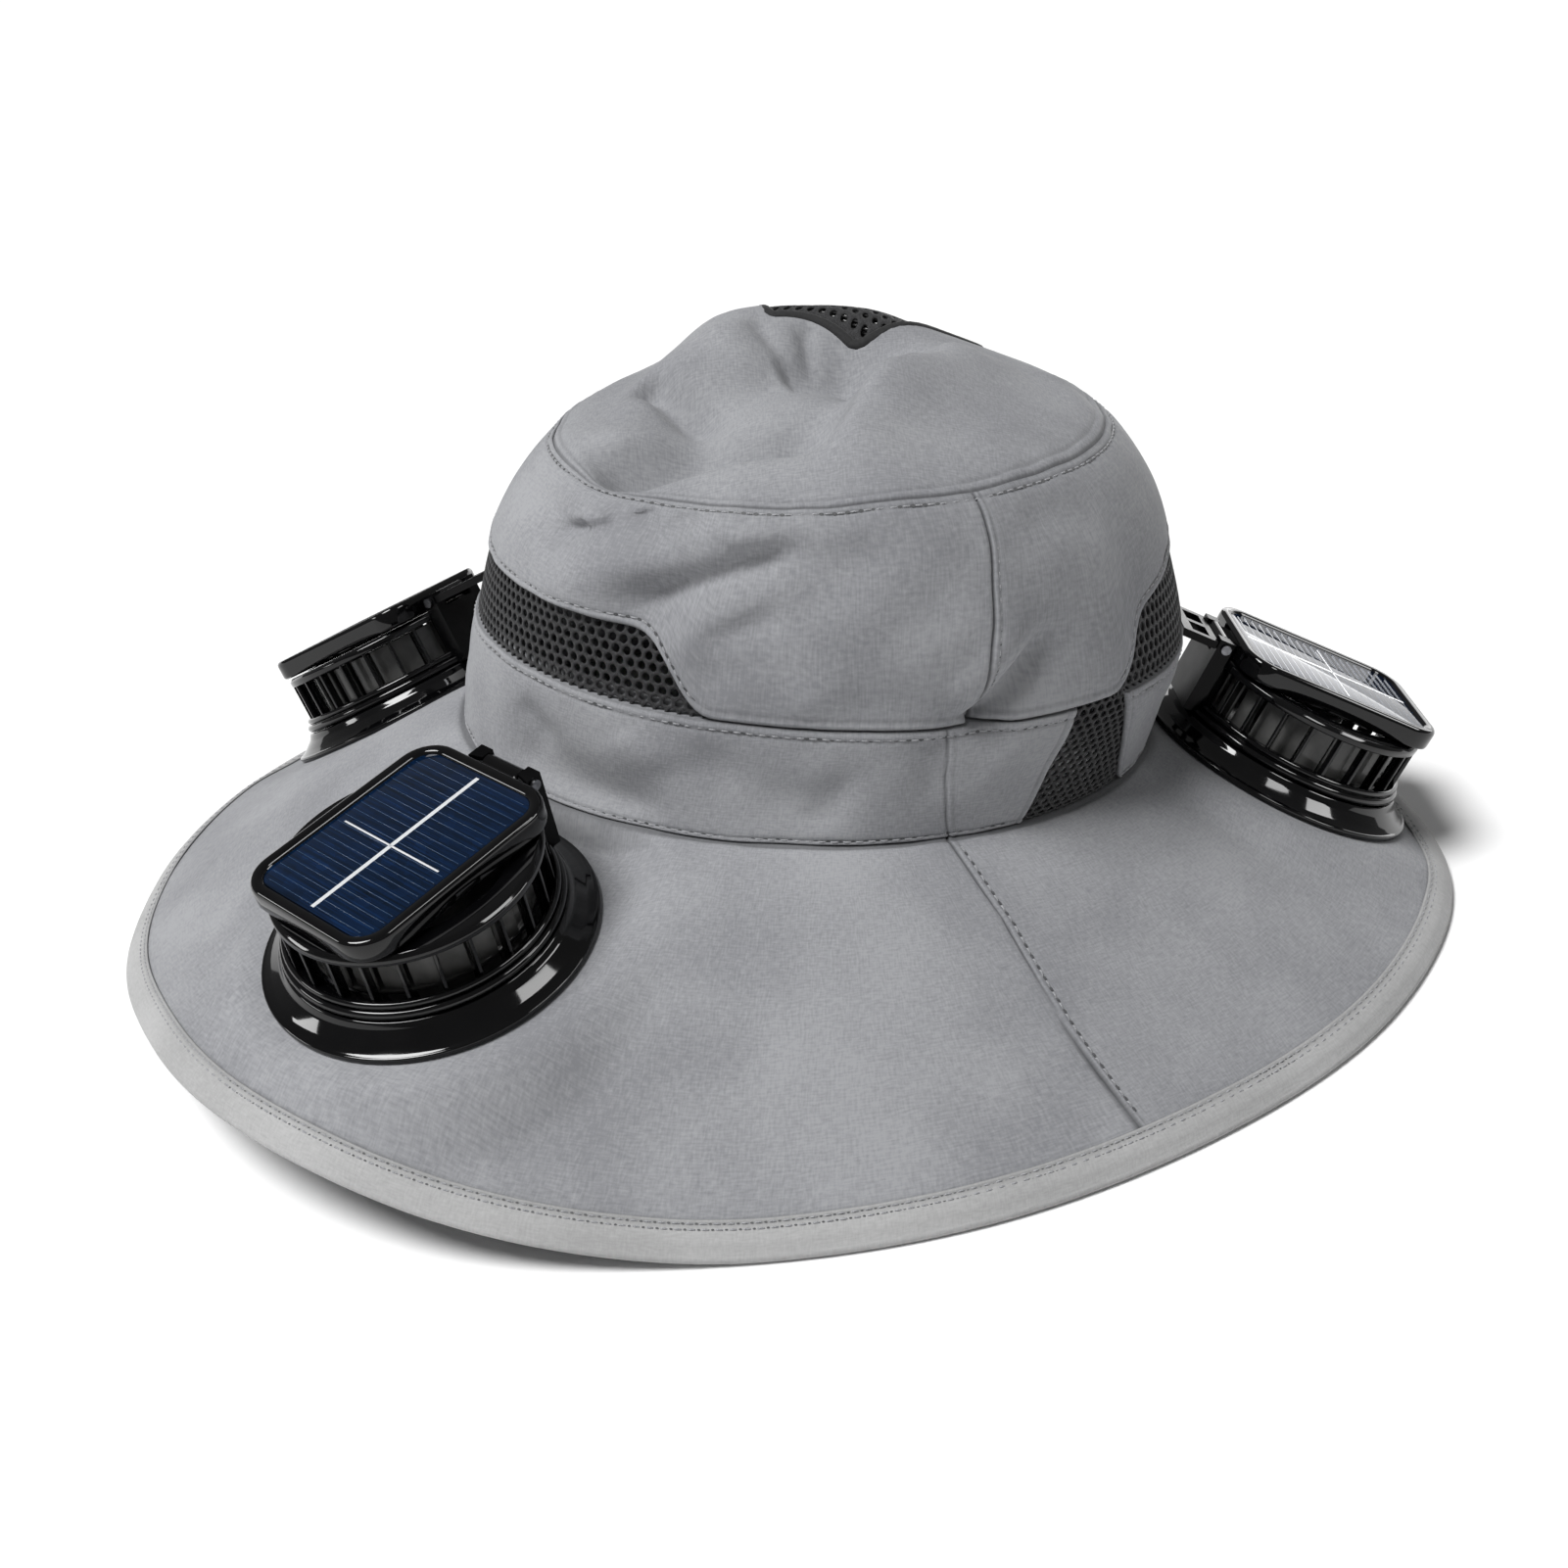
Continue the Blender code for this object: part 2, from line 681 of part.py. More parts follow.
def cylinder_into(mesh, radius, low, high, x, z, sides=12):
    """Adds a cylinder along Y to a bmesh."""
    place = Matrix.Translation((x, (low + high) / 2, z)) @ Matrix.Rotation(math.pi / 2, 4, "X")
    bmesh.ops.create_cone(
        mesh, cap_ends=True, segments=sides, radius1=radius, radius2=radius,
        depth=high - low, matrix=place,
    )


def helper(name, fill, frame):
    """A hidden body for a Boolean."""
    mesh = bmesh.new()
    fill(mesh)
    data = bpy.data.meshes.new(name)
    mesh.to_mesh(data)
    mesh.free()
    obj = bpy.data.objects.new(name, data)
    CUTTERS.objects.link(obj)
    obj.hide_render = True
    obj.display_type = "WIRE"
    obj.matrix_world = frame
    return obj


def combine(obj, other, operation):
    step = obj.modifiers.new(operation.lower(), "BOOLEAN")
    step.operation = operation
    step.object = other


def solid_box(name, fill, material, frame):
    mesh = bmesh.new()
    fill(mesh)
    data = bpy.data.meshes.new(name)
    mesh.to_mesh(data)
    mesh.free()
    obj = link(bpy.data.objects.new(name, data), material)
    obj.matrix_world = frame
    return obj


# Heights above the brim along a fan's axis, and the hinge's place on it
CAGE_FOOT = FLANGE_HEIGHT + SEAT_GAP
CAGE_TOP = CAGE_FOOT + CAGE_HEIGHT
PANEL_FOOT = CAGE_TOP + SEAT_GAP
PANEL_TOP = PANEL_FOOT + PANEL_DEPTH
HINGE_X = -(PANEL_LENGTH / 2 + KNUCKLE_RADIUS + 0.5 * MM)
HINGE_Z = PANEL_FOOT + 2 * MM


def build_fan(number, frame, gloss, satin, silver, cell_blue):
    tag = f"_{number}"
    build_housing(tag, frame, gloss)
    build_rotor(tag, frame, gloss, silver)
    build_panel(tag, frame, gloss, cell_blue)
    build_hinge(tag, frame, satin, silver)
    if number in FANS_WITH_CLIP:
        build_clip(tag, frame, satin)


def build_housing(tag, frame, gloss):
    neck = CAGE_RADIUS + 2.2 * MM
    bore = CAGE_RADIUS - CAGE_WALL
    profile = [
        (neck, FLANGE_HEIGHT), (neck + 0.6 * MM, FLANGE_HEIGHT - 1.2 * MM),
        (FLANGE_RADIUS - 0.6 * MM, SEAT_GAP + 1.2 * MM), (FLANGE_RADIUS, SEAT_GAP),
        (FLANGE_RADIUS - 2.4 * MM, SEAT_GAP), (bore, FLANGE_HEIGHT - 2.4 * MM),
        (bore, FLANGE_HEIGHT),
    ]
    turned("base_flange" + tag, profile, gloss, frame)

    heights = [CAGE_FOOT, CAGE_FOOT + RING_HEIGHT, CAGE_TOP - RING_HEIGHT, CAGE_TOP]
    angles = paired_angles(FIN_COUNT, FIN_WIDTH_DEG, 180)
    cells(
        "fan_cage" + tag, [CAGE_RADIUS - CAGE_WALL, CAGE_RADIUS], angles, heights,
        lambda i, j, k: k != 1 or j % 2 == 0, gloss, frame,
    )


def build_rotor(tag, frame, gloss, silver):
    tip = CAGE_RADIUS - CAGE_WALL - ROTOR_CLEARANCE
    floor = CAGE_FOOT + 1.6 * MM
    roof = CAGE_TOP - RING_HEIGHT
    heights = [floor, floor + 1.2 * MM, roof]
    hole = SHAFT_RADIUS + SHAFT_CLEARANCE
    angles = paired_angles(BLADE_COUNT, 3.2)
    rotor = cells(
        "rotor" + tag, [hole, HUB_RADIUS, HUB_RADIUS + 4 * MM, tip], angles, heights,
        lambda i, j, k: k == 0 or i == 0 or (i == 2 and j % 2 == 0), gloss, frame,
    )
    rotor.data.set_sharp_from_angle(angle=math.radians(30))

    # Boss and spokes under the rotor, and the shaft that it turns on
    ring = CAGE_RADIUS - CAGE_WALL - SEAT_GAP
    low = CAGE_FOOT - 3 * MM
    boss = floor - SEAT_GAP
    angles = paired_angles(3, 12, 60)
    angles = sorted(angles + [angle + 60 for angle in angles[::2]])
    radii = [0, SHAFT_RADIUS, HUB_RADIUS - 2 * MM, ring]
    narrow = [j for j in range(len(angles)) if is_spoke(angles, j)]
    cells(
        "motor_mount" + tag, radii, angles, [low, boss, roof - 2 * MM],
        lambda i, j, k: i == 0 if k == 1 else i < 2 or j in narrow, silver, frame,
    )


def is_spoke(angles, j):
    width = (angles[(j + 1) % len(angles)] - angles[j]) % 360
    return width < 15


def build_panel(tag, frame, gloss, cell_blue):
    outline = rounded_outline(PANEL_LENGTH, PANEL_WIDTH, PANEL_CORNER)
    eased = rounded_outline(PANEL_LENGTH - 1.4 * MM, PANEL_WIDTH - 1.4 * MM, PANEL_CORNER)
    loops = [
        [(x, y, PANEL_FOOT) for x, y in eased],
        [(x, y, PANEL_FOOT + 0.8 * MM) for x, y in outline],
        [(x, y, PANEL_TOP - 0.8 * MM) for x, y in outline],
        [(x, y, PANEL_TOP) for x, y in eased],
    ]
    panel = loft("panel_frame" + tag, loops, gloss, frame)
    length = PANEL_LENGTH - 2 * CELL_MARGIN
    width = PANEL_WIDTH - 2 * CELL_MARGIN
    recess = rounded_outline(length, width, CELL_CORNER, 3)
    floor = PANEL_TOP - CELL_THICKNESS - 0.6 * MM

    def pocket(mesh):
        low = [mesh.verts.new((x, y, floor)) for x, y in recess]
        high = [mesh.verts.new((x, y, PANEL_TOP + 2 * MM)) for x, y in recess]
        mesh.faces.new(low[::-1])
        mesh.faces.new(high)
        for j in range(len(low)):
            k = (j + 1) % len(low)
            mesh.faces.new((low[j], low[k], high[k], high[j]))

    combine(panel, helper("cell_pocket" + tag, pocket, frame), "DIFFERENCE")

    def knuckle(mesh):
        half = KNUCKLE_WIDTH / 2
        cylinder_into(mesh, KNUCKLE_RADIUS - 0.4 * MM, -half, half, HINGE_X, HINGE_Z)

    def tongue(mesh):
        half = KNUCKLE_WIDTH / 2
        thick = 1.8 * MM
        low = (HINGE_X, -half + 0.2 * MM, HINGE_Z - thick)
        box_into(mesh, low, (-PANEL_LENGTH / 2 + 2 * MM, half - 0.2 * MM, HINGE_Z + thick))

    def bore(mesh):
        half = KNUCKLE_WIDTH
        cylinder_into(mesh, PIN_RADIUS + PIN_CLEARANCE, -half, half, HINGE_X, HINGE_Z)

    combine(panel, helper("panel_tongue" + tag, tongue, frame), "UNION")
    combine(panel, helper("panel_knuckle" + tag, knuckle, frame), "UNION")
    combine(panel, helper("panel_bore" + tag, bore, frame), "DIFFERENCE")

    gap = SEAT_GAP
    plate = rounded_outline(length - 2 * gap, width - 2 * gap, CELL_CORNER - gap, 3)
    loops = [[(x, y, z) for x, y in plate] for z in (floor + gap, floor + gap + CELL_THICKNESS)]
    loft("solar_cell" + tag, loops, cell_blue, frame)


def build_hinge(tag, frame, satin, silver):
    ear = KNUCKLE_WIDTH / 2 + SEAT_GAP
    outside = ear + EAR_WIDTH
    face = -(CAGE_RADIUS + SEAT_GAP)

    def pin(mesh):
        cylinder_into(mesh, PIN_RADIUS, -outside - 0.8 * MM, outside + 0.8 * MM, HINGE_X, HINGE_Z)

    solid_box("hinge_pin" + tag, pin, silver, frame)

    def post(mesh):
        low = (HINGE_X - POST_DEPTH / 2, -outside, FLANGE_HEIGHT + SEAT_GAP)
        box_into(mesh, low, (face, outside, HINGE_Z - KNUCKLE_RADIUS - SEAT_GAP))

    body = solid_box("hinge_post" + tag, post, satin, frame)
    for which, (low, high) in enumerate(((-outside, -ear), (ear, outside))):

        def cheek(mesh, low=low, high=high):
            reach = PIN_RADIUS + EAR_WALL
            foot = FLANGE_HEIGHT + SEAT_GAP + 1 * MM
            box_into(
                mesh, (HINGE_X - POST_DEPTH / 2, low, foot), (HINGE_X + reach, high, HINGE_Z + reach)
            )

        combine(body, helper(f"ear_{which}{tag}", cheek, frame), "UNION")

    def bore(mesh):
        reach = PIN_RADIUS + PIN_CLEARANCE
        cylinder_into(mesh, reach, -2 * outside, 2 * outside, HINGE_X, HINGE_Z)

    def round_cage(mesh):
        bmesh.ops.create_cone(
            mesh, cap_ends=True, segments=48, radius1=-face, radius2=-face, depth=0.2
        )

    combine(body, helper("post_bore" + tag, bore, frame), "DIFFERENCE")
    combine(body, helper("post_clearance" + tag, round_cage, frame), "DIFFERENCE")


def on_crown(point):
    """Parameter azimuth and level of the crown's wall level with a point."""
    low, high = 0.0, float(TOP_SEAM_LEVEL)
    azimuth = 0.0
    for _ in range(24):
        level = (low + high) / 2
        row = [between(CROWN_SECTIONS, column, level) for column in range(SECTION_COLUMNS)]
        place = point + MIDDLE
        x = (place.x - row[3] * HEAD_HALF_LENGTH) / (row[1] * HEAD_HALF_LENGTH)
        y = (place.y - row[4] * HEAD_HALF_WIDTH) / (row[2] * HEAD_HALF_WIDTH)
        azimuth = math.degrees(math.atan2(y, x))
        if crown_point(azimuth, level).z < point.z:
            low = level
        else:
            high = level
    return azimuth, level


def reach_of_crown(frame, y, z, start):
    """X in a fan's frame at which a line towards the crown meets its wall."""
    near, far = start, start - 60 * MM
    for _ in range(24):
        middle = (near + far) / 2
        point = frame @ Vector((middle, y, z))
        wall = crown_point(*on_crown(point))
        centre = crown_point(0, len(CROWN_SECTIONS) - 1)
        if (point - centre).xy.length > (wall - centre).xy.length:
            near = middle
        else:
            far = middle
    return near


def build_clip(tag, frame, satin):
    """The flat arm from the post to the crown, with two windows in it."""
    half = KNUCKLE_WIDTH / 2 + EAR_WIDTH
    start = HINGE_X - POST_DEPTH / 2 - SEAT_GAP
    stations = [half - 2 * half * i / 4 for i in range(5)]
    loops = []
    for z in (HINGE_Z - CLIP_THICKNESS / 2, HINGE_Z + CLIP_THICKNESS / 2):
        wall = [(reach_of_crown(frame, y, z, start) + SEAM_GAP, y, z) for y in stations]
        loops.append([(start, -half, z), (start, half, z)] + wall)
    clip = loft("crown_clip" + tag, loops, satin, frame)
    long = start - max(point[0] for loop in loops for point in loop[2:])
    if long < 3 * CLIP_RIM:
        return
    for side in (-1, 1):
        edges = sorted((side * CLIP_RIM / 2, side * (half - CLIP_RIM)))

        def window(mesh, edges=edges):
            low = (start - long + CLIP_RIM, edges[0], HINGE_Z - 5 * MM)
            box_into(mesh, low, (start - CLIP_RIM, edges[1], HINGE_Z + 5 * MM))

        combine(clip, helper(f"clip_window_{side + 1}{tag}", window, frame), "DIFFERENCE")


def main():
    clear_scene()
    cloth = surface("grey_polyester", (0.29, 0.30, 0.31), 0.85)
    edge = surface("grey_binding", (0.36, 0.36, 0.36), 0.85)
    net = surface("black_net", (0.06, 0.06, 0.06), 0.8)
    trim = surface("black_binding", (0.02, 0.02, 0.02), 0.8)
    gloss = surface("gloss_black_plastic", (0.012, 0.012, 0.012), 0.15)
    satin = surface("satin_black_plastic", (0.02, 0.02, 0.02), 0.4)
    silver = surface("grey_steel", (0.35, 0.35, 0.36), 0.35, 1.0)
    cell_blue = surface("solar_cell_blue", (0.01, 0.03, 0.10), 0.2)
    build_brim(cloth, edge)
    build_band(cloth, net)
    build_side(cloth, net)
    build_top(cloth, net, trim)
    for number, frame in enumerate(FAN_FRAMES, start=1):
        build_fan(number, frame, gloss, satin, silver, cell_blue)


main()
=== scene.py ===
"""A wide-brimmed cloth sun hat with mesh vents and three solar fans, dressed over its solids.

Metres, +Z up. The cloth repeats the formulas of the part's source, with a deeper dent and a
turned vent in its top, and adds what cloth shows close to: fine folds, turned edges,
stitches, a bound rim and knitted net.
"""

import bpy
import math
from mathutils import Matrix, Vector, noise


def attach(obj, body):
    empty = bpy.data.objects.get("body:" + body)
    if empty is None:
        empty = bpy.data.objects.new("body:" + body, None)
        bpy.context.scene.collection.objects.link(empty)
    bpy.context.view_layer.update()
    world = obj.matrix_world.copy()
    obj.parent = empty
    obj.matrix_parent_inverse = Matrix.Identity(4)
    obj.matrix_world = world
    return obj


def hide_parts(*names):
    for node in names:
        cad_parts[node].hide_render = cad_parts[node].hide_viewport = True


MM = 0.001

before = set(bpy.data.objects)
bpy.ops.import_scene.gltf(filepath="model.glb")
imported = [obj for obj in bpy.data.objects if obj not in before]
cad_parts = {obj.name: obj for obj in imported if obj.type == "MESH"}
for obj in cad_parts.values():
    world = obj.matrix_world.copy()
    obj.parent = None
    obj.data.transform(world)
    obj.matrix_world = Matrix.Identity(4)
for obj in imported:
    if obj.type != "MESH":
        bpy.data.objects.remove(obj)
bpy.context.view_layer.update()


# Camera, at the photograph's angle and distance


def place_camera():
    """A close camera above the hat's front, rolled a little."""
    rise, roll = math.radians(28.5), math.radians(-3.68)
    aim, distance = Vector((0.0015, 0.0018, 0.0267)), 0.55
    right = Vector((1, 0, 0))
    up = Vector((0, math.sin(rise), math.cos(rise)))
    back = Vector((0, -math.cos(rise), math.sin(rise)))
    across = right * math.cos(roll) + up * math.sin(roll)
    upward = up * math.cos(roll) - right * math.sin(roll)
    place = Matrix((across, upward, back)).transposed().to_4x4()
    place.translation = aim + back * distance
    data = bpy.data.cameras.new("camera")
    data.sensor_fit = "HORIZONTAL"
    data.sensor_width = 36
    data.lens = 44.25
    camera = bpy.data.objects.new("camera", data)
    camera.matrix_world = place
    bpy.context.scene.collection.objects.link(camera)
    bpy.context.scene.camera = camera


place_camera()

# Sizes and shape tables of the part's source. Only the top's folds and its vent differ: the
# dent is deeper here, and the vent is turned to the right and brought forward.

RIM_HALF_LENGTH = 185 * MM
RIM_HALF_WIDTH = 164 * MM
BRIM_DROP = 50 * MM
BRIM_BOW_FULL = 1.30
BRIM_BOW_FLAT = 0.78
BRIM_FULL_AZIMUTH = 235
FRONT_LIFT = 20 * MM
FRONT_LIFT_AZIMUTH = 224
FRONT_LIFT_SPREAD = 44
BINDING_WIDTH = 8 * MM
BINDING_THICKNESS = 2.6 * MM

HEAD_HALF_LENGTH = 96 * MM
HEAD_HALF_WIDTH = 89 * MM
CROWN_HEIGHT = 106 * MM
SEAM_GAP = 0.6 * MM

PAD_MARGIN = 4 * MM
PAD_BLEND = 16 * MM

FLANGE_RADIUS = 40 * MM
FLANGE_HEIGHT = 7 * MM
CAGE_RADIUS = 32.5 * MM
CAGE_WALL = 3.2 * MM
CAGE_HEIGHT = 17.5 * MM
SHAFT_RADIUS = 1.5 * MM
HUB_RADIUS = 11 * MM
PANEL_LENGTH = 60 * MM
PANEL_WIDTH = 46 * MM
PANEL_DEPTH = 6 * MM
PANEL_CORNER = 9 * MM
CELL_MARGIN = 3.4 * MM
CELL_CORNER = 5 * MM
KNUCKLE_RADIUS = 2.6 * MM
KNUCKLE_WIDTH = 12 * MM
SEAT_GAP = 0.3 * MM
FIN_COUNT = 24
BLADE_COUNT = 24

CAGE_FOOT = FLANGE_HEIGHT + SEAT_GAP
CAGE_TOP = CAGE_FOOT + CAGE_HEIGHT
PANEL_FOOT = CAGE_TOP + SEAT_GAP
PANEL_TOP = PANEL_FOOT + PANEL_DEPTH
HINGE_X = -(PANEL_LENGTH / 2 + KNUCKLE_RADIUS + 0.5 * MM)
HINGE_Z = PANEL_FOOT + 2 * MM

# Crown sections: height, half length, half width, shift along X and Y, lean along X and Y
CROWN_SECTIONS = [
    (0.000, 0.985, 1.010, 0.105, 0.035, -4.7, -4.0),
    (0.138, 0.992, 0.990, 0.145, 0.030, -5.1, -3.4),
    (0.290, 0.995, 0.960, 0.190, 0.022, -5.4, -2.6),
    (0.486, 0.940, 0.925, 0.200, 0.010, -4.2, -2.8),
    (0.650, 0.865, 0.870, 0.212, 0.000, -2.8, -2.6),
    (0.784, 0.740, 0.780, 0.207, 0.000, -1.4, -2.0),
    (0.877, 0.540, 0.620, 0.165, 0.010, -0.5, -1.0),
    (0.949, 0.330, 0.400, 0.130, 0.030, 0.0, 0.0),
    (1.000, 0.000, 0.000, 0.110, 0.050, 0.0, 0.0),
]
SECTION_COLUMNS = 7
BAND_LEVEL = 2
TOP_SEAM_LEVEL = 5

# Height of cloth from one level to the next: on the side, at the top's seam, and at the vent
LEVEL_STEP = 21.5 * MM
TOP_LEVEL_STEP = 19 * MM
VENT_LEVEL_STEP = 17 * MM

# Large folds: of the top, x1, y1, x2, y2, half width and rise; of the side, azimuth and
# level twice, half width and rise
TOP_FOLDS = [
    (-0.50, -0.42, -0.04, -0.40, 0.15, -0.170),
    (-0.26, -0.16, 0.14, 0.02, 0.20, -0.130),
    (-0.02, -0.44, 0.24, -0.02, 0.09, -0.050),
    (0.10, -0.56, 0.40, -0.02, 0.10, 0.045),
    (-0.20, 0.36, 0.20, 0.38, 0.16, 0.035),
    (-0.62, 0.00, -0.42, 0.30, 0.16, -0.035),
    (-0.50, -0.70, -0.10, -0.78, 0.12, -0.030),
]
SIDE_FOLDS = [
    (237, 3.2, 259, 4.2, 6, -0.032),
    (220, 3.3, 234, 3.9, 6, 0.020),
    (259, 3.3, 272, 4.2, 6, -0.020),
    (221, 0.7, 239, 0.4, 6, -0.026),
    (252, 1.2, 262, 0.8, 6, -0.016),
    (290, 2.1, 302, 2.7, 5, -0.030),
    (280, 2.7, 290, 3.2, 6, 0.014),
    (196, 4.6, 214, 4.1, 6, -0.022),
    (60, 3.0, 84, 4.2, 9, 0.016),
    (120, 3.6, 140, 2.8, 8, -0.018),
]
DEGREES_PER_LEVEL = 14

NET_TOP_EDGE = [
    (-112, 0.00), (-118, 0.23), (-122, 0.30), (-136, 0.32), (-151, 0.31), (-170, 0.33),
    (-195, 0.44), (-230, 0.50), (-290, 0.52), (-335, 0.50), (-358, 0.44), (-375, 0.37),
    (-392, 0.30), (-397, 0.27), (-400, 0.18), (-403, 0.00),
]
BAND_WINDOW = {"top": (-53, -43), "bottom": (-58.5, -33)}
VENT_AZIMUTH = (38, 104)
VENT_LEVELS = (5.55, 7.3)

# Bulges of the rim's outline: azimuth, rise as a share of RIM_HALF_WIDTH, half width in degrees
RIM_BULGES = [
    (222, 0.040, 14), (240, 0.062, 17), (262, 0.018, 22), (308, -0.021, 20), (350, 0.022, 12),
]

# Fans: azimuth, distance from the brim's seam as a share of the foot's radius, tilt, lean,
# press on the brim, and the share of the brim at which the flat seat starts to fade
FANS = [
    (228, 1.072, 12, -3.3, -0.077, 0.84),
    (0, 0.935, 27, -3.0, 0.02, 0.90),
    (149, 1.120, 28, 4, -0.07, 0.90),
]
FANS_WITH_CLIP = (2, 3)
BRIM_COUNT = 54

# Sizes and tables that only the cloth here has

# The curved seams that join the cloth's ends: level or share of the brim, and azimuth
WALL_SEAM = [(2.0, 288.5), (2.15, 289.0), (3.2, 292.0), (3.75, 293.0), (4.15, 294.0), (5.0, 295.0)]
BAND_SEAM = [(0.0, 289.5), (0.45, 288.0), (1.2, 286.0), (2.1, 284.0)]
BRIM_SEAM = [(0.0, 289.0), (0.3, 293.0), (0.6, 295.5), (0.92, 299.0), (1.0, 299.8)]

# Radius at which a piece's degrees are counted, and the usual width of a piece, in mm
WALL_RADIUS = 88
BAND_RADIUS = 92
BRIM_RADIUS = 130
WALL_RUN = 45
BAND_RUN = 35
BRIM_RUN = 85

# Thickness of the thin cloth, of the firmer band and brim, and of the net; distance between
# the net's holes and half of a hole's width
CLOTH_THICKNESS = 1.2 * MM
FIRM_THICKNESS = 1.3 * MM
NET_THICKNESS = 0.7 * MM
NET_PITCH = 3.15 * MM
NET_HOLE = 1.20 * MM
TOP_NET_HOLE = 0.95 * MM

# Rows of stitches: their distance from a turned edge and from a joining seam, and the length,
# gap and half thickness of a stitch, all in mm
EDGE_STITCH = 2.3
LAP_STITCH = 1.8
STITCH_LENGTH = 2.1
STITCH_GAP = 0.9
STITCH_SIZE = 0.22

# Distances in mm from an edge of close rows of points, and from a seam of close columns
EDGE_STEPS = (0.0, 0.25, 0.55, 0.95, 1.4, 1.85, 2.3, 2.8, 3.5, 4.6)
SEAM_COLUMNS = (-4.0, -2.4, -1.2, -0.5, -0.15, 0.15, 0.5, 0.95, 1.4, 1.8, 2.2, 2.7, 3.6, 5.0)

# Fine creases that only the cloth shows. Of the side: azimuth and level twice, half width
# in degrees, rise in mm, and how soon each end fades. Of the top: the same from x and y.
SIDE_CREASES = [
    (287.5, 2.02, 305, 3.05, 1.5, -3.4, 0.02, 0.45),
    (284, 2.20, 301, 3.30, 2.8, 2.4, 0.20, 0.50),
    (292, 2.00, 309, 2.80, 3.0, 1.4, 0.10, 0.60),
    (222, 4.30, 211, 3.70, 2.2, -2.9, 0.10, 0.60),
    (226, 4.55, 213, 4.05, 1.8, 2.6, 0.05, 0.60),
    (231, 4.70, 240, 3.95, 2.6, -1.9, 0.10, 0.50),
    (238, 4.75, 252, 4.25, 3.0, -1.4, 0.20, 0.60),
    (243, 4.60, 262, 4.35, 2.6, 1.3, 0.20, 0.50),
    (244, 2.30, 262, 3.10, 4.0, -1.4, 0.40, 0.50),
    (262, 2.10, 271, 2.90, 3.5, 1.0, 0.20, 0.60),
    (300, 4.50, 322, 4.20, 4.0, -1.1, 0.30, 0.60),
    (268, 0.30, 273, 1.60, 3.0, -1.3, 0.20, 0.50),
    (282, 1.90, 286, 0.60, 2.4, -1.4, 0.10, 0.50),
    (296, 1.80, 291, 0.50, 3.0, 1.1, 0.30, 0.50),
    (214, 1.50, 226, 0.80, 3.0, -1.6, 0.30, 0.50),
    (236, 1.60, 246, 1.00, 4.0, 1.1, 0.30, 0.50),
    (234, 3.22, 262, 4.30, 2.4, -2.0, 0.20, 0.30),
    (247, 2.85, 262, 3.45, 2.2, -1.8, 0.20, 0.50),
]
TOP_CREASES = [
    (-0.44, 0.12, -0.18, -0.24, 0.055, -7.0, 0.15, 0.40),
    (-0.22, 0.26, -0.06, -0.04, 0.080, 2.5, 0.20, 0.40),
    (-0.04, 0.02, 0.22, 0.10, 0.075, -4.5, 0.20, 0.40),
    (-0.62, -0.26, -0.20, -0.24, 0.060, 3.0, 0.30, 0.50),
    (-0.60, -0.56, 0.00, -0.60, 0.030, 1.4, 0.10, 0.40),
    (0.04, -0.60, 0.36, -0.04, 0.035, 2.2, 0.20, 0.30),
    (-0.62, -0.46, -0.28, -0.50, 0.060, -4.0, 0.10, 0.40),
    (0.04, 0.24, 0.06, 0.06, 0.025, -2.2, 0.10, 0.50),
    (-0.10, 0.24, -0.02, 0.10, 0.030, -1.6, 0.10, 0.50),
    (0.62, 0.16, 0.74, -0.30, 0.050, 1.2, 0.20, 0.30),
]


def smoothstep(low, high, value):
    t = min(1.0, max(0.0, (value - low) / (high - low)))
    return t * t * (3 - 2 * t)


def bell(value, width):
    return math.exp(-(value / width) ** 2)


def between(rows, column, place):
    """Catmull-Rom value of one column of a table at a place counted in rows."""
    last = len(rows) - 1
    i = min(max(int(math.floor(place)), 0), last - 1)
    t = place - i
    p = [rows[min(max(i + k, 0), last)][column] for k in (-1, 0, 1, 2)]
    a = 2 * p[1]
    b = p[2] - p[0]
    c = 2 * p[0] - 5 * p[1] + 4 * p[2] - p[3]
    d = 3 * p[1] - p[0] - 3 * p[2] + p[3]
    return (a + b * t + c * t * t + d * t ** 3) / 2


def place_on_line(px, py, x1, y1, x2, y2):
    """How far along a line a point lies, from 0 to 1, and how far from it."""
    dx, dy = x2 - x1, y2 - y1
    t = ((px - x1) * dx + (py - y1) * dy) / (dx * dx + dy * dy)
    t = min(1.0, max(0.0, t))
    return t, math.hypot(px - x1 - t * dx, py - y1 - t * dy)


def turn_between(a, b):
    return (a - b + 180) % 360 - 180


def heading(azimuth):
    angle = math.radians(azimuth)
    return Vector((math.cos(angle), math.sin(angle), 0))


def place_on_side(azimuth, level, az1, level1, az2, level2):
    """The same for a line on the crown's side, with levels counted as degrees."""
    return place_on_line(
        turn_between(azimuth, az1), level * DEGREES_PER_LEVEL, 0, level1 * DEGREES_PER_LEVEL,
        turn_between(az2, az1), level2 * DEGREES_PER_LEVEL,
    )


def crease(t, away, half_width, rise, fade_in, fade_out):
    """A fold that fades towards its ends."""
    if away > 3 * half_width:
        return 0.0
    ends = smoothstep(0, fade_in, t) * (1 - smoothstep(1 - fade_out, 1, t))
    return rise * MM * bell(away, half_width) * ends


def top_rise(x, y, fine):
    """Rise of the top from its large folds, or from its fine creases."""
    u, v = x / HEAD_HALF_LENGTH, y / HEAD_HALF_WIDTH
    if fine:
        return sum(crease(*place_on_line(u, v, *row[:4]), *row[4:]) for row in TOP_CREASES)
    return sum(height * CROWN_HEIGHT * bell(place_on_line(u, v, *ends)[1], half_width)
               for *ends, half_width, height in TOP_FOLDS)


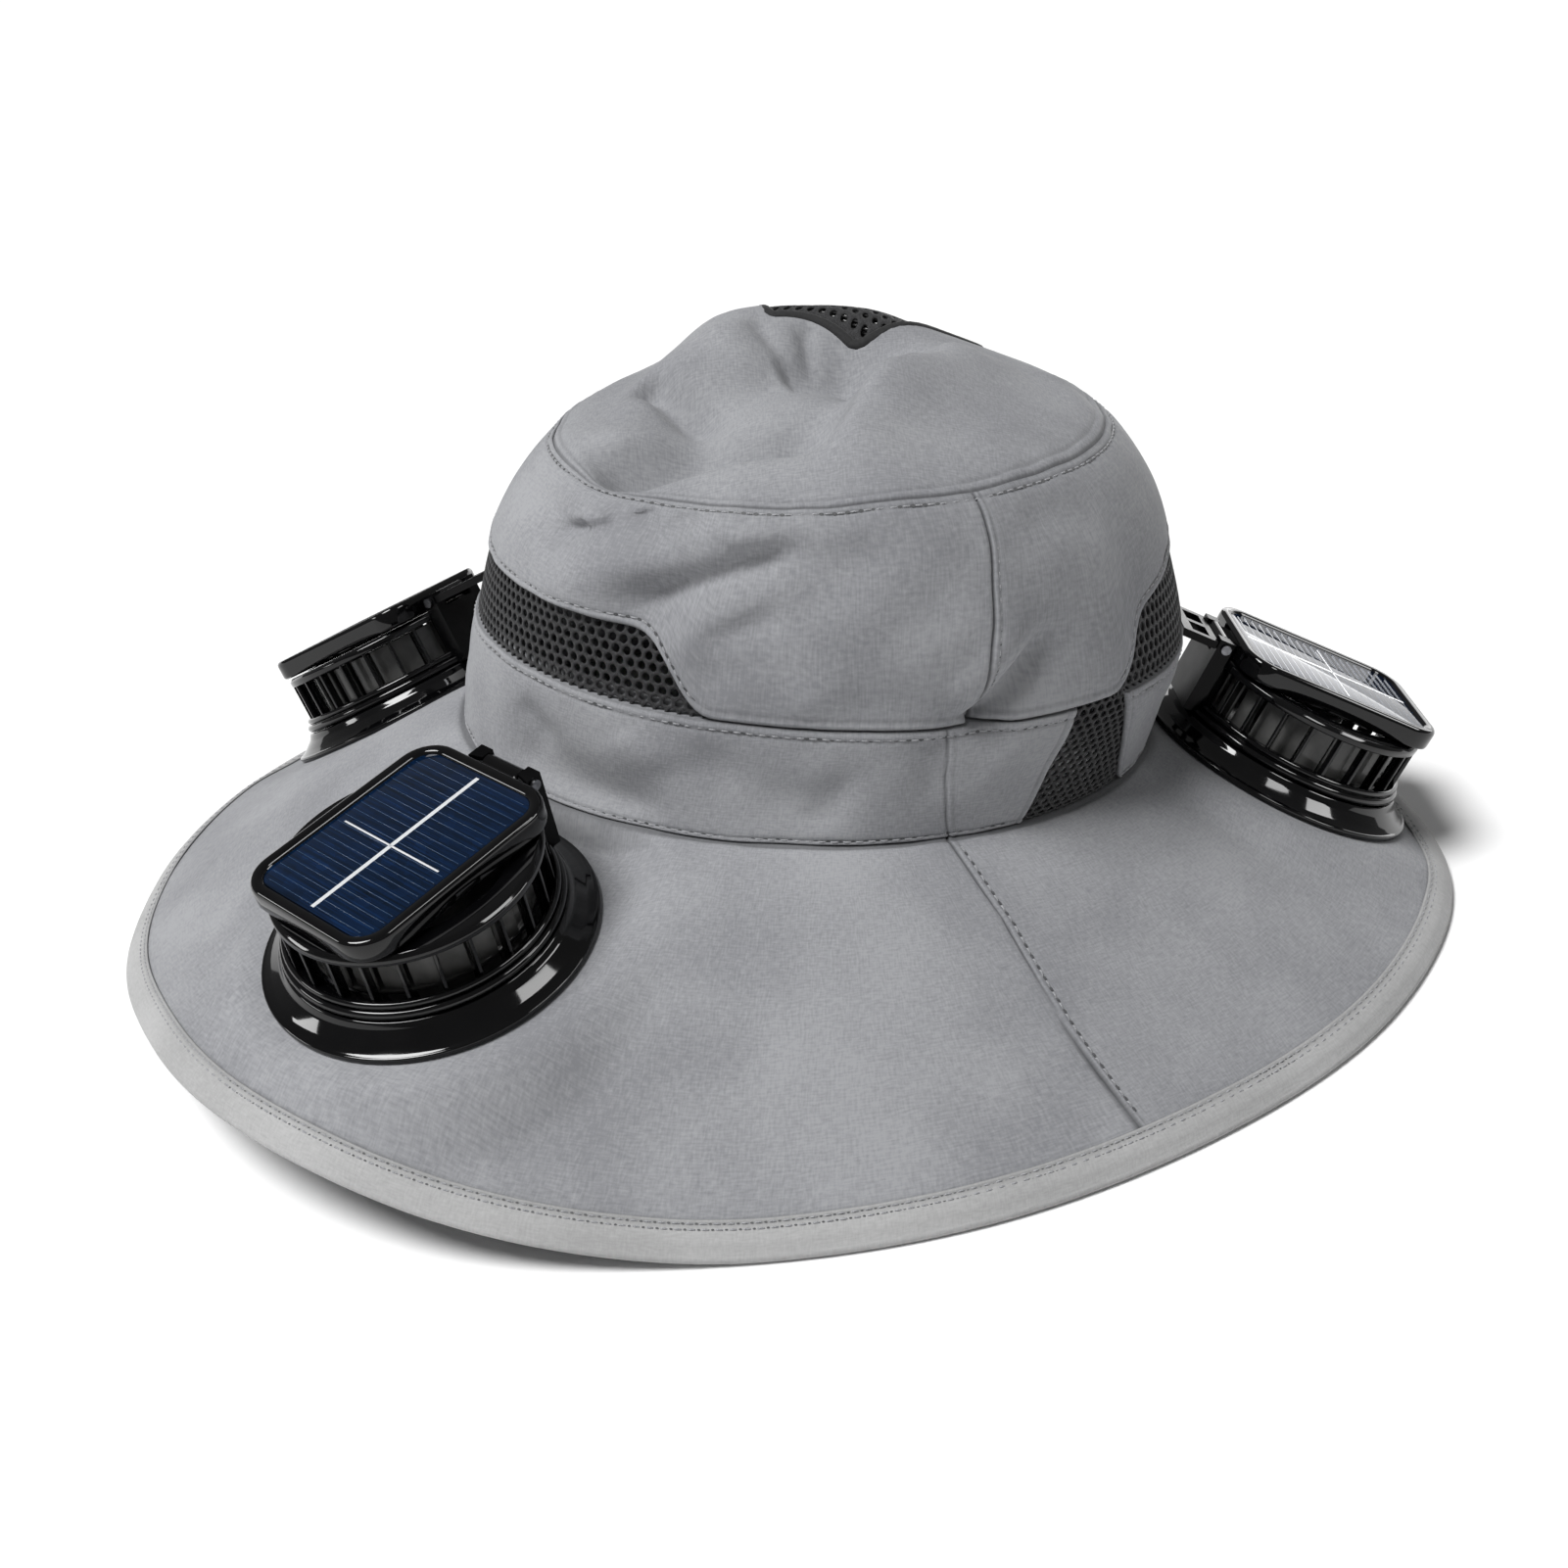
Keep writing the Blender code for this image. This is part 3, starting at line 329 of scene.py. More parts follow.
def side_rise(azimuth, level, fine):
    """Rise of the side from its large folds, or from its fine creases."""
    if fine:
        return sum(crease(*place_on_side(azimuth, level, *row[:4]), *row[4:])
                   for row in SIDE_CREASES)
    return sum(height * CROWN_HEIGHT * bell(place_on_side(azimuth, level, *ends)[1], half_width)
               for *ends, half_width, height in SIDE_FOLDS)


def crown_point(azimuth, level, fine=True):
    """Outer surface of the crown: level 0 is the brim's seam, then one for each section."""
    height, length, width, shift_x, shift_y, lean_x, lean_y = (
        between(CROWN_SECTIONS, column, level) for column in range(SECTION_COLUMNS)
    )
    angle = math.radians(azimuth)
    on_side = smoothstep(TOP_SEAM_LEVEL, TOP_SEAM_LEVEL - 1, level)
    out = side_rise(azimuth, level, False) * on_side * smoothstep(0, 0.5, level)
    if fine:
        held = smoothstep(TOP_SEAM_LEVEL + 0.1, TOP_SEAM_LEVEL - 0.4, level) * smoothstep(0, 0.3, level)
        out += side_rise(azimuth, level, True) * held
    x = (max(length, 0) * HEAD_HALF_LENGTH + out) * math.cos(angle)
    y = (max(width, 0) * HEAD_HALF_WIDTH + out) * math.sin(angle)
    z = BRIM_DROP + height * CROWN_HEIGHT
    z += x * math.tan(math.radians(lean_x)) + y * math.tan(math.radians(lean_y))
    z += top_rise(x, y, False) * smoothstep(TOP_SEAM_LEVEL - 0.6, TOP_SEAM_LEVEL + 1.2, level)
    if fine:
        z += top_rise(x, y, True) * smoothstep(TOP_SEAM_LEVEL, TOP_SEAM_LEVEL + 0.5, level)
    point = Vector((x + shift_x * HEAD_HALF_LENGTH, y + shift_y * HEAD_HALF_WIDTH, z)) - MIDDLE
    if fine:
        outward = heading(azimuth) * on_side
        outward.z = 1 - on_side
        point += outward * 0.7 * MM * noise.noise(point * 38)
        point += outward * 0.25 * MM * noise.noise(point * 110)
    return point


def front_lift(azimuth):
    away = abs(turn_between(azimuth, FRONT_LIFT_AZIMUTH)) / FRONT_LIFT_SPREAD
    return FRONT_LIFT * math.cos(min(away, 1) * math.pi / 2) ** 2


def rim_reach(azimuth):
    """Distance of the rim from the middle of the ellipse that it follows."""
    angle = math.radians(azimuth)
    reach = 1 / math.hypot(math.cos(angle) / RIM_HALF_LENGTH, math.sin(angle) / RIM_HALF_WIDTH)
    for middle, rise, half_width in RIM_BULGES:
        reach += rise * RIM_HALF_WIDTH * bell(turn_between(azimuth, middle), half_width)
    return reach


def rim_middle():
    """Middle of the rim's bounding box, which the whole hat is moved by."""
    ends = []
    for i in range(BRIM_COUNT):
        azimuth = 360 * i / BRIM_COUNT
        angle, reach = math.radians(azimuth), rim_reach(azimuth)
        ends.append((reach * math.cos(angle), reach * math.sin(angle)))
    middle = [(min(column) + max(column)) / 2 for column in zip(*ends)]
    return Vector((*middle, 0))


MIDDLE = rim_middle()


def rim_point(azimuth):
    angle = math.radians(azimuth)
    reach = rim_reach(azimuth)
    place = Vector((reach * math.cos(angle), reach * math.sin(angle), front_lift(azimuth)))
    return place - MIDDLE


def brim_start(azimuth):
    return crown_point(azimuth, 0, fine=False) + heading(azimuth) * SEAM_GAP


def brim_free_point(azimuth, share):
    inner = brim_start(azimuth)
    rim = rim_point(azimuth)
    rim.z += BINDING_THICKNESS
    point = inner.lerp(rim, share)
    facing = math.cos(math.radians(azimuth - BRIM_FULL_AZIMUTH))
    bow = BRIM_BOW_FLAT + (BRIM_BOW_FULL - BRIM_BOW_FLAT) * (1 + facing) / 2
    point.z = inner.z + (rim.z - inner.z) * max(share, 0) ** bow
    return point


def fan_frame(azimuth, distance, tilt, lean, rise):
    """Where a fan's foot sits: X outward along the brim, Z along the fan's own axis."""
    outward = (rim_point(azimuth) - brim_start(azimuth)).xy.to_3d()
    middle = brim_free_point(azimuth, distance * FLANGE_RADIUS / outward.length)
    middle.z += rise * BRIM_DROP
    fall = math.radians(tilt)
    outward.normalize()
    level = outward * math.cos(fall) - Vector((0, 0, math.sin(fall)))
    side = Vector((0, 0, 1)).cross(outward)
    axis = level.cross(side)
    turned = Matrix.Rotation(math.radians(lean), 3, level)
    side, axis = turned @ side, turned @ axis
    place = Matrix((level, side, axis)).transposed().to_4x4()
    place.translation = middle
    return place


FAN_FRAMES = [fan_frame(*row[:-1]) for row in FANS]


def brim_point(azimuth, share):
    """Top of the brim, flat where a fan's stiff foot is fixed to it."""
    point = brim_free_point(azimuth, share)
    for place, row in zip(FAN_FRAMES, FANS):
        centre = place.translation
        axis = place.col[2].xyz
        off = point - centre
        flat = centre.z - (axis.x * off.x + axis.y * off.y) / axis.z
        away = math.hypot(off.x, off.y)
        pad = FLANGE_RADIUS + PAD_MARGIN
        weight = 1 - smoothstep(pad, pad + PAD_BLEND, away)
        weight *= smoothstep(0, 0.036, share) * smoothstep(1, row[-1], share)
        point.z += (flat - point.z) * weight
    return point


def share_inside_rim(azimuth, distance):
    """Share of the brim at a distance from the rim, measured along the cloth."""
    step = 0.005
    share, length, point = 1.0, 0.0, brim_point(azimuth, 1.0)
    while length < distance:
        share -= step
        nearer = brim_point(azimuth, share)
        added = (nearer - point).length
        length += added
        point = nearer
    return share + step * (length - distance) / added


def net_height(azimuth):
    """Level of the net's upper edge, with the corners of its outline rounded."""
    total = 0.0
    for shift in (-2.4, -1.2, 0, 1.2, 2.4):
        turn = (azimuth + shift) % 360 - 360
        if turn < NET_TOP_EDGE[-1][0]:
            turn += 360
        if turn > NET_TOP_EDGE[0][0]:
            turn -= 360
        for (az1, share1), (az2, share2) in zip(NET_TOP_EDGE, NET_TOP_EDGE[1:]):
            if az2 <= turn <= az1:
                total += share1 + (share2 - share1) * (turn - az1) / (az2 - az1)
                break
    return BAND_LEVEL + total / 5 * (TOP_SEAM_LEVEL - BAND_LEVEL)


def window_side(which, share):
    low = BAND_WINDOW["bottom"][which]
    return low + (BAND_WINDOW["top"][which] - low) * share


# Materials


def tint(code):
    """An sRGB hex colour as linear RGBA."""
    parts = [int(code[i:i + 2], 16) / 255 for i in (1, 3, 5)]
    return (*[p / 12.92 if p <= 0.04045 else ((p + 0.055) / 1.055) ** 2.4 for p in parts], 1)


def add(tree, kind, settings=None, **links):
    """Adds a node. Settings go to its properties or sockets, links to its sockets."""
    made = tree.nodes.new("ShaderNode" + kind)
    for key, value in (settings or {}).items():
        if isinstance(key, str) and hasattr(made, key):
            setattr(made, key, value)
        else:
            made.inputs[key].default_value = value
    for key, value in links.items():
        key = int(key[1:]) if key[0] == "_" else key.replace("_", " ")
        tree.links.new(value, made.inputs[key])
    return made


def finish_named(name, settings):
    """A material with its Principled shader's uniform values set on its own sockets."""
    made = bpy.data.materials.new(name)
    made.use_nodes = True
    tree = made.node_tree
    shader = tree.nodes["Principled BSDF"]
    for key, value in settings.items():
        shader.inputs[key].default_value = value
    return made, tree, shader


def ramp(tree, value, stops):
    made = add(tree, "ValToRGB", Fac=value)
    elements = made.color_ramp.elements
    while len(elements) < len(stops):
        elements.new(0.5)
    for element, (place, code) in zip(elements, stops):
        element.position = place
        element.color = tint(code)
    return made.outputs["Color"]


def woven_cloth(name, light, dark, thread, strength):
    """Plain-woven polyester microfibre, dyed before sewing: matt, with a soft sheen and slubs of
    uneven thread, its seams and turned edges darkened by painted shade. Real threads are about
    0.15 mm apart, too fine to show, so they are drawn at the size given."""
    made, tree, shader = finish_named(name, {
        "Roughness": 0.82, "Sheen Weight": 0.12, "Sheen Roughness": 0.4, "IOR": 1.5,
        "Specular IOR Level": 0.35,
    })
    place = add(tree, "TexCoord").outputs["UV"]
    warp = add(tree, "Mapping", {"Scale": (1.0 / thread, 0.22 / thread, 1)}, Vector=place)
    weft = add(tree, "Mapping", {"Scale": (0.22 / thread, 1.0 / thread, 1)}, Vector=place)
    warp = add(tree, "TexNoise", {"Scale": 1.0, "Detail": 2.0}, Vector=warp.outputs[0])
    weft = add(tree, "TexNoise", {"Scale": 1.0, "Detail": 2.0}, Vector=weft.outputs[0])
    weave = add(tree, "Math", {"operation": "ADD"}, _0=warp.outputs["Fac"], _1=weft.outputs["Fac"])
    weave = add(tree, "Math", {"operation": "MULTIPLY", 1: 0.5}, _0=weave.outputs[0])
    wide = add(tree, "TexNoise", {"Scale": 26.0, "Detail": 4.0},
               Vector=add(tree, "TexCoord").outputs["Object"])
    shade = add(tree, "Math", {"operation": "MULTIPLY_ADD", 1: 0.55},
                _0=weave.outputs[0], _2=add(
                    tree, "Math", {"operation": "MULTIPLY", 1: 0.45}, _0=wide.outputs["Fac"]
                ).outputs[0])
    body = ramp(tree, shade.outputs[0], [(0.40, dark), (0.60, light)])
    # Painted shade: the seam attribute mixes the cloth towards dark grey where seams, grooves and
    # turned edges would be in shadow
    seam = add(tree, "Attribute", {"attribute_name": "seam"})
    base = add(tree, "Mix", {"data_type": "RGBA", 7: tint("#3a3b3d")},
               _0=seam.outputs["Fac"], _6=body)
    tree.links.new(base.outputs[2], shader.inputs["Base Color"])
    bump = add(tree, "Bump", {"Strength": strength, "Distance": 0.00012}, Height=weave.outputs[0])
    tree.links.new(bump.outputs[0], shader.inputs["Normal"])
    return made


def grained(name, dark, light, scale, detail, settings, spread=(0.35, 0.65), bump=None):
    """A material whose colour follows one fine noise, and its bump too where one is given as
    a strength and a depth."""
    made, tree, shader = finish_named(name, settings)
    place = add(tree, "TexCoord").outputs["Object"]
    fine = add(tree, "TexNoise", {"Scale": scale, "Detail": detail}, Vector=place).outputs["Fac"]
    body = ramp(tree, fine, [(spread[0], dark), (spread[1], light)])
    tree.links.new(body, shader.inputs["Base Color"])
    if bump:
        dents = add(tree, "Bump", {"Strength": bump[0], "Distance": bump[1]}, Height=fine)
        tree.links.new(dents.outputs[0], shader.inputs["Normal"])
    return made


def moulded_plastic(name, light, dark, roughness, specular, ripple):
    """ABS, injection moulded: the polished mould gives clear reflections with a faint waviness
    where the wall cooled, and handling leaves it a little duller in places."""
    made, tree, shader = finish_named(name, {
        "IOR": 1.45, "Specular IOR Level": specular,
    })
    place = add(tree, "TexCoord").outputs["Object"]
    wide = add(tree, "TexNoise", {"Scale": 90.0, "Detail": 3.0}, Vector=place)
    body = ramp(tree, wide.outputs["Fac"], [(0.35, dark), (0.65, light)])
    tree.links.new(body, shader.inputs["Base Color"])
    dull = add(tree, "MapRange", {"From Min": 0.3, "From Max": 0.7,
                                  "To Min": roughness * 0.8, "To Max": roughness * 1.3},
               Value=wide.outputs["Fac"])
    tree.links.new(dull.outputs[0], shader.inputs["Roughness"])
    fine = add(tree, "TexNoise", {"Scale": 240.0, "Detail": 1.0}, Vector=place)
    bump = add(tree, "Bump", {"Strength": ripple, "Distance": 0.0001}, Height=fine.outputs["Fac"])
    tree.links.new(bump.outputs[0], shader.inputs["Normal"])
    return made


def silicon_cell(name):
    """A polycrystalline silicon cell with a blue antireflection layer, cast under clear epoxy:
    navy crystal grains of a few millimetres, sawn in fine streaks across the cell, under a
    mirror-smooth top."""
    made, tree, shader = finish_named(name, {
        "Roughness": 0.04, "IOR": 1.42,
    })
    place = add(tree, "TexCoord").outputs["UV"]
    grains = add(tree, "TexVoronoi", {"Scale": 320.0}, Vector=place)
    streaks = add(tree, "Mapping", {"Scale": (1400, 45, 1)}, Vector=place)
    streaks = add(tree, "TexNoise", {"Scale": 1.0, "Detail": 3.0}, Vector=streaks.outputs[0])
    value = add(tree, "Math", {"operation": "MULTIPLY_ADD", 1: 0.12},
                _0=add(tree, "SeparateColor", _0=grains.outputs["Color"]).outputs[0],
                _2=add(tree, "Math", {"operation": "MULTIPLY", 1: 0.88},
                       _0=streaks.outputs["Fac"]).outputs[0])
    body = ramp(tree, value.outputs[0], [(0.30, "#03101f"), (0.60, "#061c38"), (0.85, "#0b2c55")])
    tree.links.new(body, shader.inputs["Base Color"])
    return made


POLYESTER = woven_cloth("grey polyester plain weave", "#9b9c9f", "#808185", 0.00048, 0.60)
TAPE = woven_cloth("grey polyester binding tape", "#b0b0b0", "#9e9e9e", 0.00050, 0.55)
BLACK_TAPE = woven_cloth("black polyester binding tape", "#2a2a2b", "#151516", 0.00050, 0.7)
GLOSS_ABS = moulded_plastic("polished black ABS", "#070708", "#030304", 0.06, 0.5, 0.03)
# Painted reflection: the rotor's blades are glossy black ABS, coloured mid grey to stand for the grey
# cloth that their gloss reflects
BLADE_ABS_PAINTED_REFLECTION = moulded_plastic("black ABS greyed by painted reflection", "#646463", "#4c4c4b", 0.16, 0.4, 0.05)
SATIN_ABS = moulded_plastic("satin black ABS", "#0a0a0b", "#050506", 0.20, 0.12, 0.08)
CELL = silicon_cell("polycrystalline silicon cell")

# Polyester yarn warp-knitted into a net of round holes: dull, nearly black, with short loops
# of yarn running round each hole
NET_YARN = grained("black warp-knitted net", "#19191a", "#363638", 2600, 2, {
    "Roughness": 0.75, "Sheen Weight": 0.1, "Specular IOR Level": 0.3}, bump=(0.6, 0.0002))

# Steel pin stock, drawn and turned: fine lines round it stretch its highlights
STEEL = grained("turned steel", "#5c5d60", "#8b8c90", 900, 3, {
    "Metallic": 1.0, "Roughness": 0.32}, spread=(0.3, 0.7), bump=(0.15, 0.0001))

# Silver paste, screen printed on the cell and fired under its clear epoxy: slightly grainy
# and satin, pale where the bar is wide and lost in the navy where a line is hair thin
PASTE = {"Metallic": 0.3, "Roughness": 0.35, "Coat Weight": 1.0, "Coat Roughness": 0.04}
BUSBAR = grained("printed silver busbar", "#dfe3e8", "#ffffff", 3000, 2, PASTE, spread=(0.2, 0.8))
FINGERS = grained("printed silver finger", "#14304e", "#1f4468", 3000, 2, PASTE, spread=(0.2, 0.8))

# Polyester sewing thread, three strands twisted: a soft shine broken by the twist. The needle
# holes beside it are flat ovals of the same dyed polyester, darkened as painted shade.
TWIST = {"Roughness": 0.6, "Sheen Weight": 0.3}
THREAD = grained("grey polyester thread", "#7c7d80", "#a4a5a8", 4000, 1, TWIST)
NEEDLE_HOLE_SHADE = grained("painted shade of a needle hole", "#2e2f31", "#4b4c4e", 4000, 1, TWIST)


# Meshes


def new_piece(name, points, faces, material, slot, body, nodes=(), sharp=None, uv=None, seam=None):
    """A mesh piece in the hat's frame that rides on a body and stands for CAD nodes."""
    data = bpy.data.meshes.new(name)
    data.from_pydata([tuple(point) for point in points], [], faces)
    data.update()
    data.shade_smooth()
    if sharp:
        data.set_sharp_from_angle(angle=math.radians(sharp))
    if uv:
        layer = data.uv_layers.new(name="cloth")
        for loop in data.loops:
            layer.data[loop.index].uv = uv[loop.vertex_index]
    # The seam attribute holds painted shade: how much the cloth is darkened at seams and turned edges
    if seam:
        layer = data.attributes.new("seam", "FLOAT", "POINT")
        layer.data.foreach_set("value", seam)
    data.materials.append(material)
    piece = bpy.data.objects.new(name, data)
    bpy.context.scene.collection.objects.link(piece)
    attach(piece, body)
    if nodes:
        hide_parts(*nodes)
    return piece


def grid_faces(rows, count, closed, left_out=lambda i, j: False):
    faces = []
    for i in range(rows - 1):
        for j in range(count if closed else count - 1):
            if left_out(i, j):
                continue
            k = (j + 1) % count
            faces.append((i * count + j, i * count + k, (i + 1) * count + k, (i + 1) * count + j))
    return faces


def ring_faces(rings, count):
    """Quads between neighbouring rings of points, all the way round a closed row of rings."""
    faces = []
    for i in range(rings):
        n = (i + 1) % rings
        for k in range(count):
            m = (k + 1) % count
            faces.append((i * count + k, n * count + k, n * count + m, i * count + m))
    return faces


def thicken(piece, thickness):
    solid = piece.modifiers.new("thickness", "SOLIDIFY")
    solid.thickness = thickness
    solid.offset = -1


def cloth_piece(name, node, places, columns, spot, thickness, closed=True, flip=False):
    """Grey cloth whose outer side spot(place, column) gives as a point and a seam's shadow. It
    is made thick inwards and has a UV map in metres for the weave."""
    rows = [[spot(place, column) for column in columns] for place in places]
    middle = rows[len(rows) // 2]
    across = [0.0]
    for (a, _), (b, _) in zip(middle, middle[1:]):
        across.append(across[-1] + (b - a).length)
    up, uv = 0.0, []
    for i, row in enumerate(rows):
        if i:
            up += (row[0][0] - rows[i - 1][0][0]).length
        uv += [(x, up) for x in across]
    faces = grid_faces(len(rows), len(columns), closed)
    if flip:
        faces = [face[::-1] for face in faces]
    piece = new_piece(name, [point for row in rows for point, _ in row], faces, POLYESTER,
                      "grey_polyester", "hat", [node], uv=uv,
                      seam=[shadow for row in rows for _, shadow in row])
    thicken(piece, thickness)


def surface_normal(surface, u, v, du, dv):
    """Outward normal of a surface that runs anticlockwise in u and upward in v."""
    a = surface(u + du, v) - surface(u - du, v)
    b = surface(u, v + dv) - surface(u, v - dv)
    return a.cross(b).normalized()


def crown_normal(azimuth, level):
    def plain(az, lv):
        return crown_point(az, lv, fine=False)
    return surface_normal(plain, azimuth, level, 0.5, 0.03)


def edge_shape(away, thick=1.0):
    """Rise of the cloth near a turned and stitched edge, from the distance to it in mm."""
    rise = 0.0
    if away < 0.8:
        rise -= 0.9 * (1 - away / 0.8) ** 2 * thick
    rise += 0.30 * bell(away - 1.2, 0.7) * thick
    rise -= 0.28 * bell(away - EDGE_STITCH, 0.45)
    return rise * MM


def edge_shadow(away):
    return min(1.0, 0.5 * bell(away, 0.3) + 0.25 * bell(away - EDGE_STITCH, 0.45))


def pucker(point, away):
    """Small gathers that the stitches pull into the cloth beside a seam."""
    size = 0.42 * MM * math.exp(-abs(away - EDGE_STITCH) / 4.5)
    return size * noise.noise(Vector((point.x * 150, point.y * 150, point.z * 60)))


def spread_rows(length):
    """Places from 0 to 1 across a piece of a length in metres, close together at both edges."""
    low = [step * MM / length for step in EDGE_STEPS]
    high = [1 - place for place in low[::-1]]
    inner = max(2, round((high[0] - low[-1]) * length / (1.9 * MM)))
    middle = [low[-1] + (high[0] - low[-1]) * i / inner for i in range(1, inner)]
    return low + middle + high


def seam_azimuth(table, place):
    for (place1, az1), (place2, az2) in zip(table, table[1:]):
        if place <= place2:
            t = max(0.0, (place - place1) / (place2 - place1))
            return az1 + (az2 - az1) * t
    return table[-1][1]


def seam_columns(middle, radius, step):
    """Columns all round at a step in degrees, with close ones at a seam; radius is in mm."""
    near = [middle + mm / (math.radians(1) * radius) for mm in SEAM_COLUMNS]
    found = [az for az in steps_round(middle - 180, middle + 180, step)
             if az < near[0] - step * 0.4 or az > near[-1] + step * 0.4]
    return sorted(found + near)


def steps_round(start, end, step):
    count = round((end - start) / step)
    return [start + (end - start) * i / count for i in range(count)]


def lap_shape(away):
    """Rise at a joining seam, from the signed distance in mm: a narrow ditch, then the raised
    side that carries the stitches."""
    rise = -0.75 * bell(away, 0.35)
    if away > 0:
        rise += 0.28 * math.exp(-away / 3.0)
    rise -= 0.22 * bell(away - LAP_STITCH, 0.4)
    return rise * MM


def lap_shadow(away):
    return min(1.0, 0.9 * bell(away, 0.28) + 0.25 * bell(away - LAP_STITCH, 0.4))


def bent_column(column, middle, wanted):
    """The azimuth of a column once the seam's own curve has pulled it aside."""
    pull = max(0.0, 1 - abs(column - middle) / 20)
    return column + (wanted - middle) * pull


# Crown


def build_wall():
    """The crown's side wall, its lower edge cut away for the net. Its rows keep their distance
    from both edges whatever the wall's height is."""
    middle = 292.0
    gap = SEAM_GAP / LEVEL_STEP * 0.5

    def spot(place, column):
        low, high = net_height(column) + gap, TOP_SEAM_LEVEL - gap
        level = low + (high - low) * place
        az = bent_column(column, middle, seam_azimuth(WALL_SEAM, level))
        length = (high - low) * LEVEL_STEP / MM
        below, above = place * length, (1 - place) * length
        aside = (az - seam_azimuth(WALL_SEAM, level)) * math.radians(1) * WALL_RADIUS
        point = crown_point(az, level)
        rise = edge_shape(below, 0.6) + edge_shape(above, 0.1) + lap_shape(aside)
        rise += pucker(point, below) + pucker(point, above) + pucker(point, abs(aside))
        shadow = max(edge_shadow(below), edge_shadow(above), lap_shadow(aside))
        return point + crown_normal(az, level) * rise, shadow

    cloth_piece("crown_wall", "crown_side", spread_rows(WALL_RUN * MM),
                seam_columns(middle, WALL_RADIUS, 1.0), spot, CLOTH_THICKNESS)


def build_band():
    """The headband, open at its net window. Its last two rows turn in behind the wall."""
    middle = 287.0
    gap = SEAM_GAP / LEVEL_STEP * 0.5
    mm = math.radians(1) * BAND_RADIUS
    left, right = -56, -38
    start, end = right, left + 360
    near = [step * 1.3 / 1.6 for step in EDGE_STEPS]  # in degrees, each about 1.6 mm long
    inner = sorted(turn for az in seam_columns(middle, BAND_RADIUS, 1.0)
                   for turn in (az - 360, az, az + 360)
                   if start + near[-1] + 0.6 < turn < end - near[-1] - 0.6)
    columns = [start + n for n in near] + inner + [end - n for n in near[::-1]]

    def spot(place, column):
        level = place * (BAND_LEVEL - 2 * gap) + gap
        t = (column - start) / (end - start)
        pull = (window_side(1, level / BAND_LEVEL) - right) * max(0, 1 - t * 18)
        pull += (window_side(0, level / BAND_LEVEL) - left) * max(0, 1 - (1 - t) * 18)
        az = bent_column(column, middle, seam_azimuth(BAND_SEAM, level)) + pull
        to_window = min(column - start, end - column) * mm
        below, above = place * BAND_RUN, (1 - place) * BAND_RUN
        aside = (az - seam_azimuth(BAND_SEAM, level)) * mm
        rise = edge_shape(below, 0.4) + edge_shape(above, 0.3) + lap_shape(aside) * 0.6
        rise += edge_shape(to_window, 0.9)
        if above < -0.1:
            rise = -2.4 * MM
        point = crown_point(az, level)
        rise += pucker(point, below) + pucker(point, above)
        shadow = max(edge_shadow(below), edge_shadow(above), edge_shadow(to_window),
                     lap_shadow(aside) * 0.6)
        return point + crown_normal(az, level) * rise, shadow

    cloth_piece("headband", "band", spread_rows(BAND_RUN * MM) + [1.01, 1.07], columns, spot,
                FIRM_THICKNESS, closed=False)


def top_levels():
    """Levels of the top panel's rows, close at its seam and exact at the vent's edges."""
    levels = [TOP_SEAM_LEVEL - 0.17, TOP_SEAM_LEVEL - 0.05]
    levels += [TOP_SEAM_LEVEL + 0.02 + step * MM / TOP_LEVEL_STEP for step in EDGE_STEPS]
    low, high = VENT_LEVELS
    for end, count in ((low, 4), (high, 16), (7.9, 14)):
        first = levels[-1]
        levels += [first + (end - first) * i / count for i in range(1, count + 1)]
    return levels


def build_top():
    """The dented top panel, with the vent's opening left out."""
    start, end = VENT_AZIMUTH
    inside = 40
    columns = [start + (end - start) * i / inside for i in range(inside)]
    columns += steps_round(end, start + 360, 1.25)
    levels = top_levels()
    points, seam = [], []
    for level in levels:
        away = (level - TOP_SEAM_LEVEL - 0.02) * TOP_LEVEL_STEP / MM
        tucked_in = away < -0.1
        for az in columns:
            point = crown_point(az, level)
            rise = -0.8 * MM if tucked_in else edge_shape(away, 0.3)
            points.append(point + crown_normal(az, level) * (rise + pucker(point, away)))
            # Painted shade on the tucked-in rows and beside the top's turned edge
            seam.append(0.35 if tucked_in else edge_shadow(away) * 0.7)
    low, high = (min(range(len(levels)), key=lambda i: abs(levels[i] - edge)) for edge in VENT_LEVELS)
    count = len(columns)
    faces = grid_faces(len(levels), count, True, lambda i, j: low <= i < high and j < inside)
    last = (len(levels) - 1) * count
    faces += [(last + j, last + (j + 1) % count, len(points)) for j in range(count)]
    points.append(crown_point(0, len(CROWN_SECTIONS) - 1))
    seam.append(0.0)
    piece = new_piece("crown_top_panel", points, faces, POLYESTER, "grey_polyester", "hat",
                      ["crown_top"], uv=[point.xy for point in points], seam=seam)
    thicken(piece, CLOTH_THICKNESS)


# Net


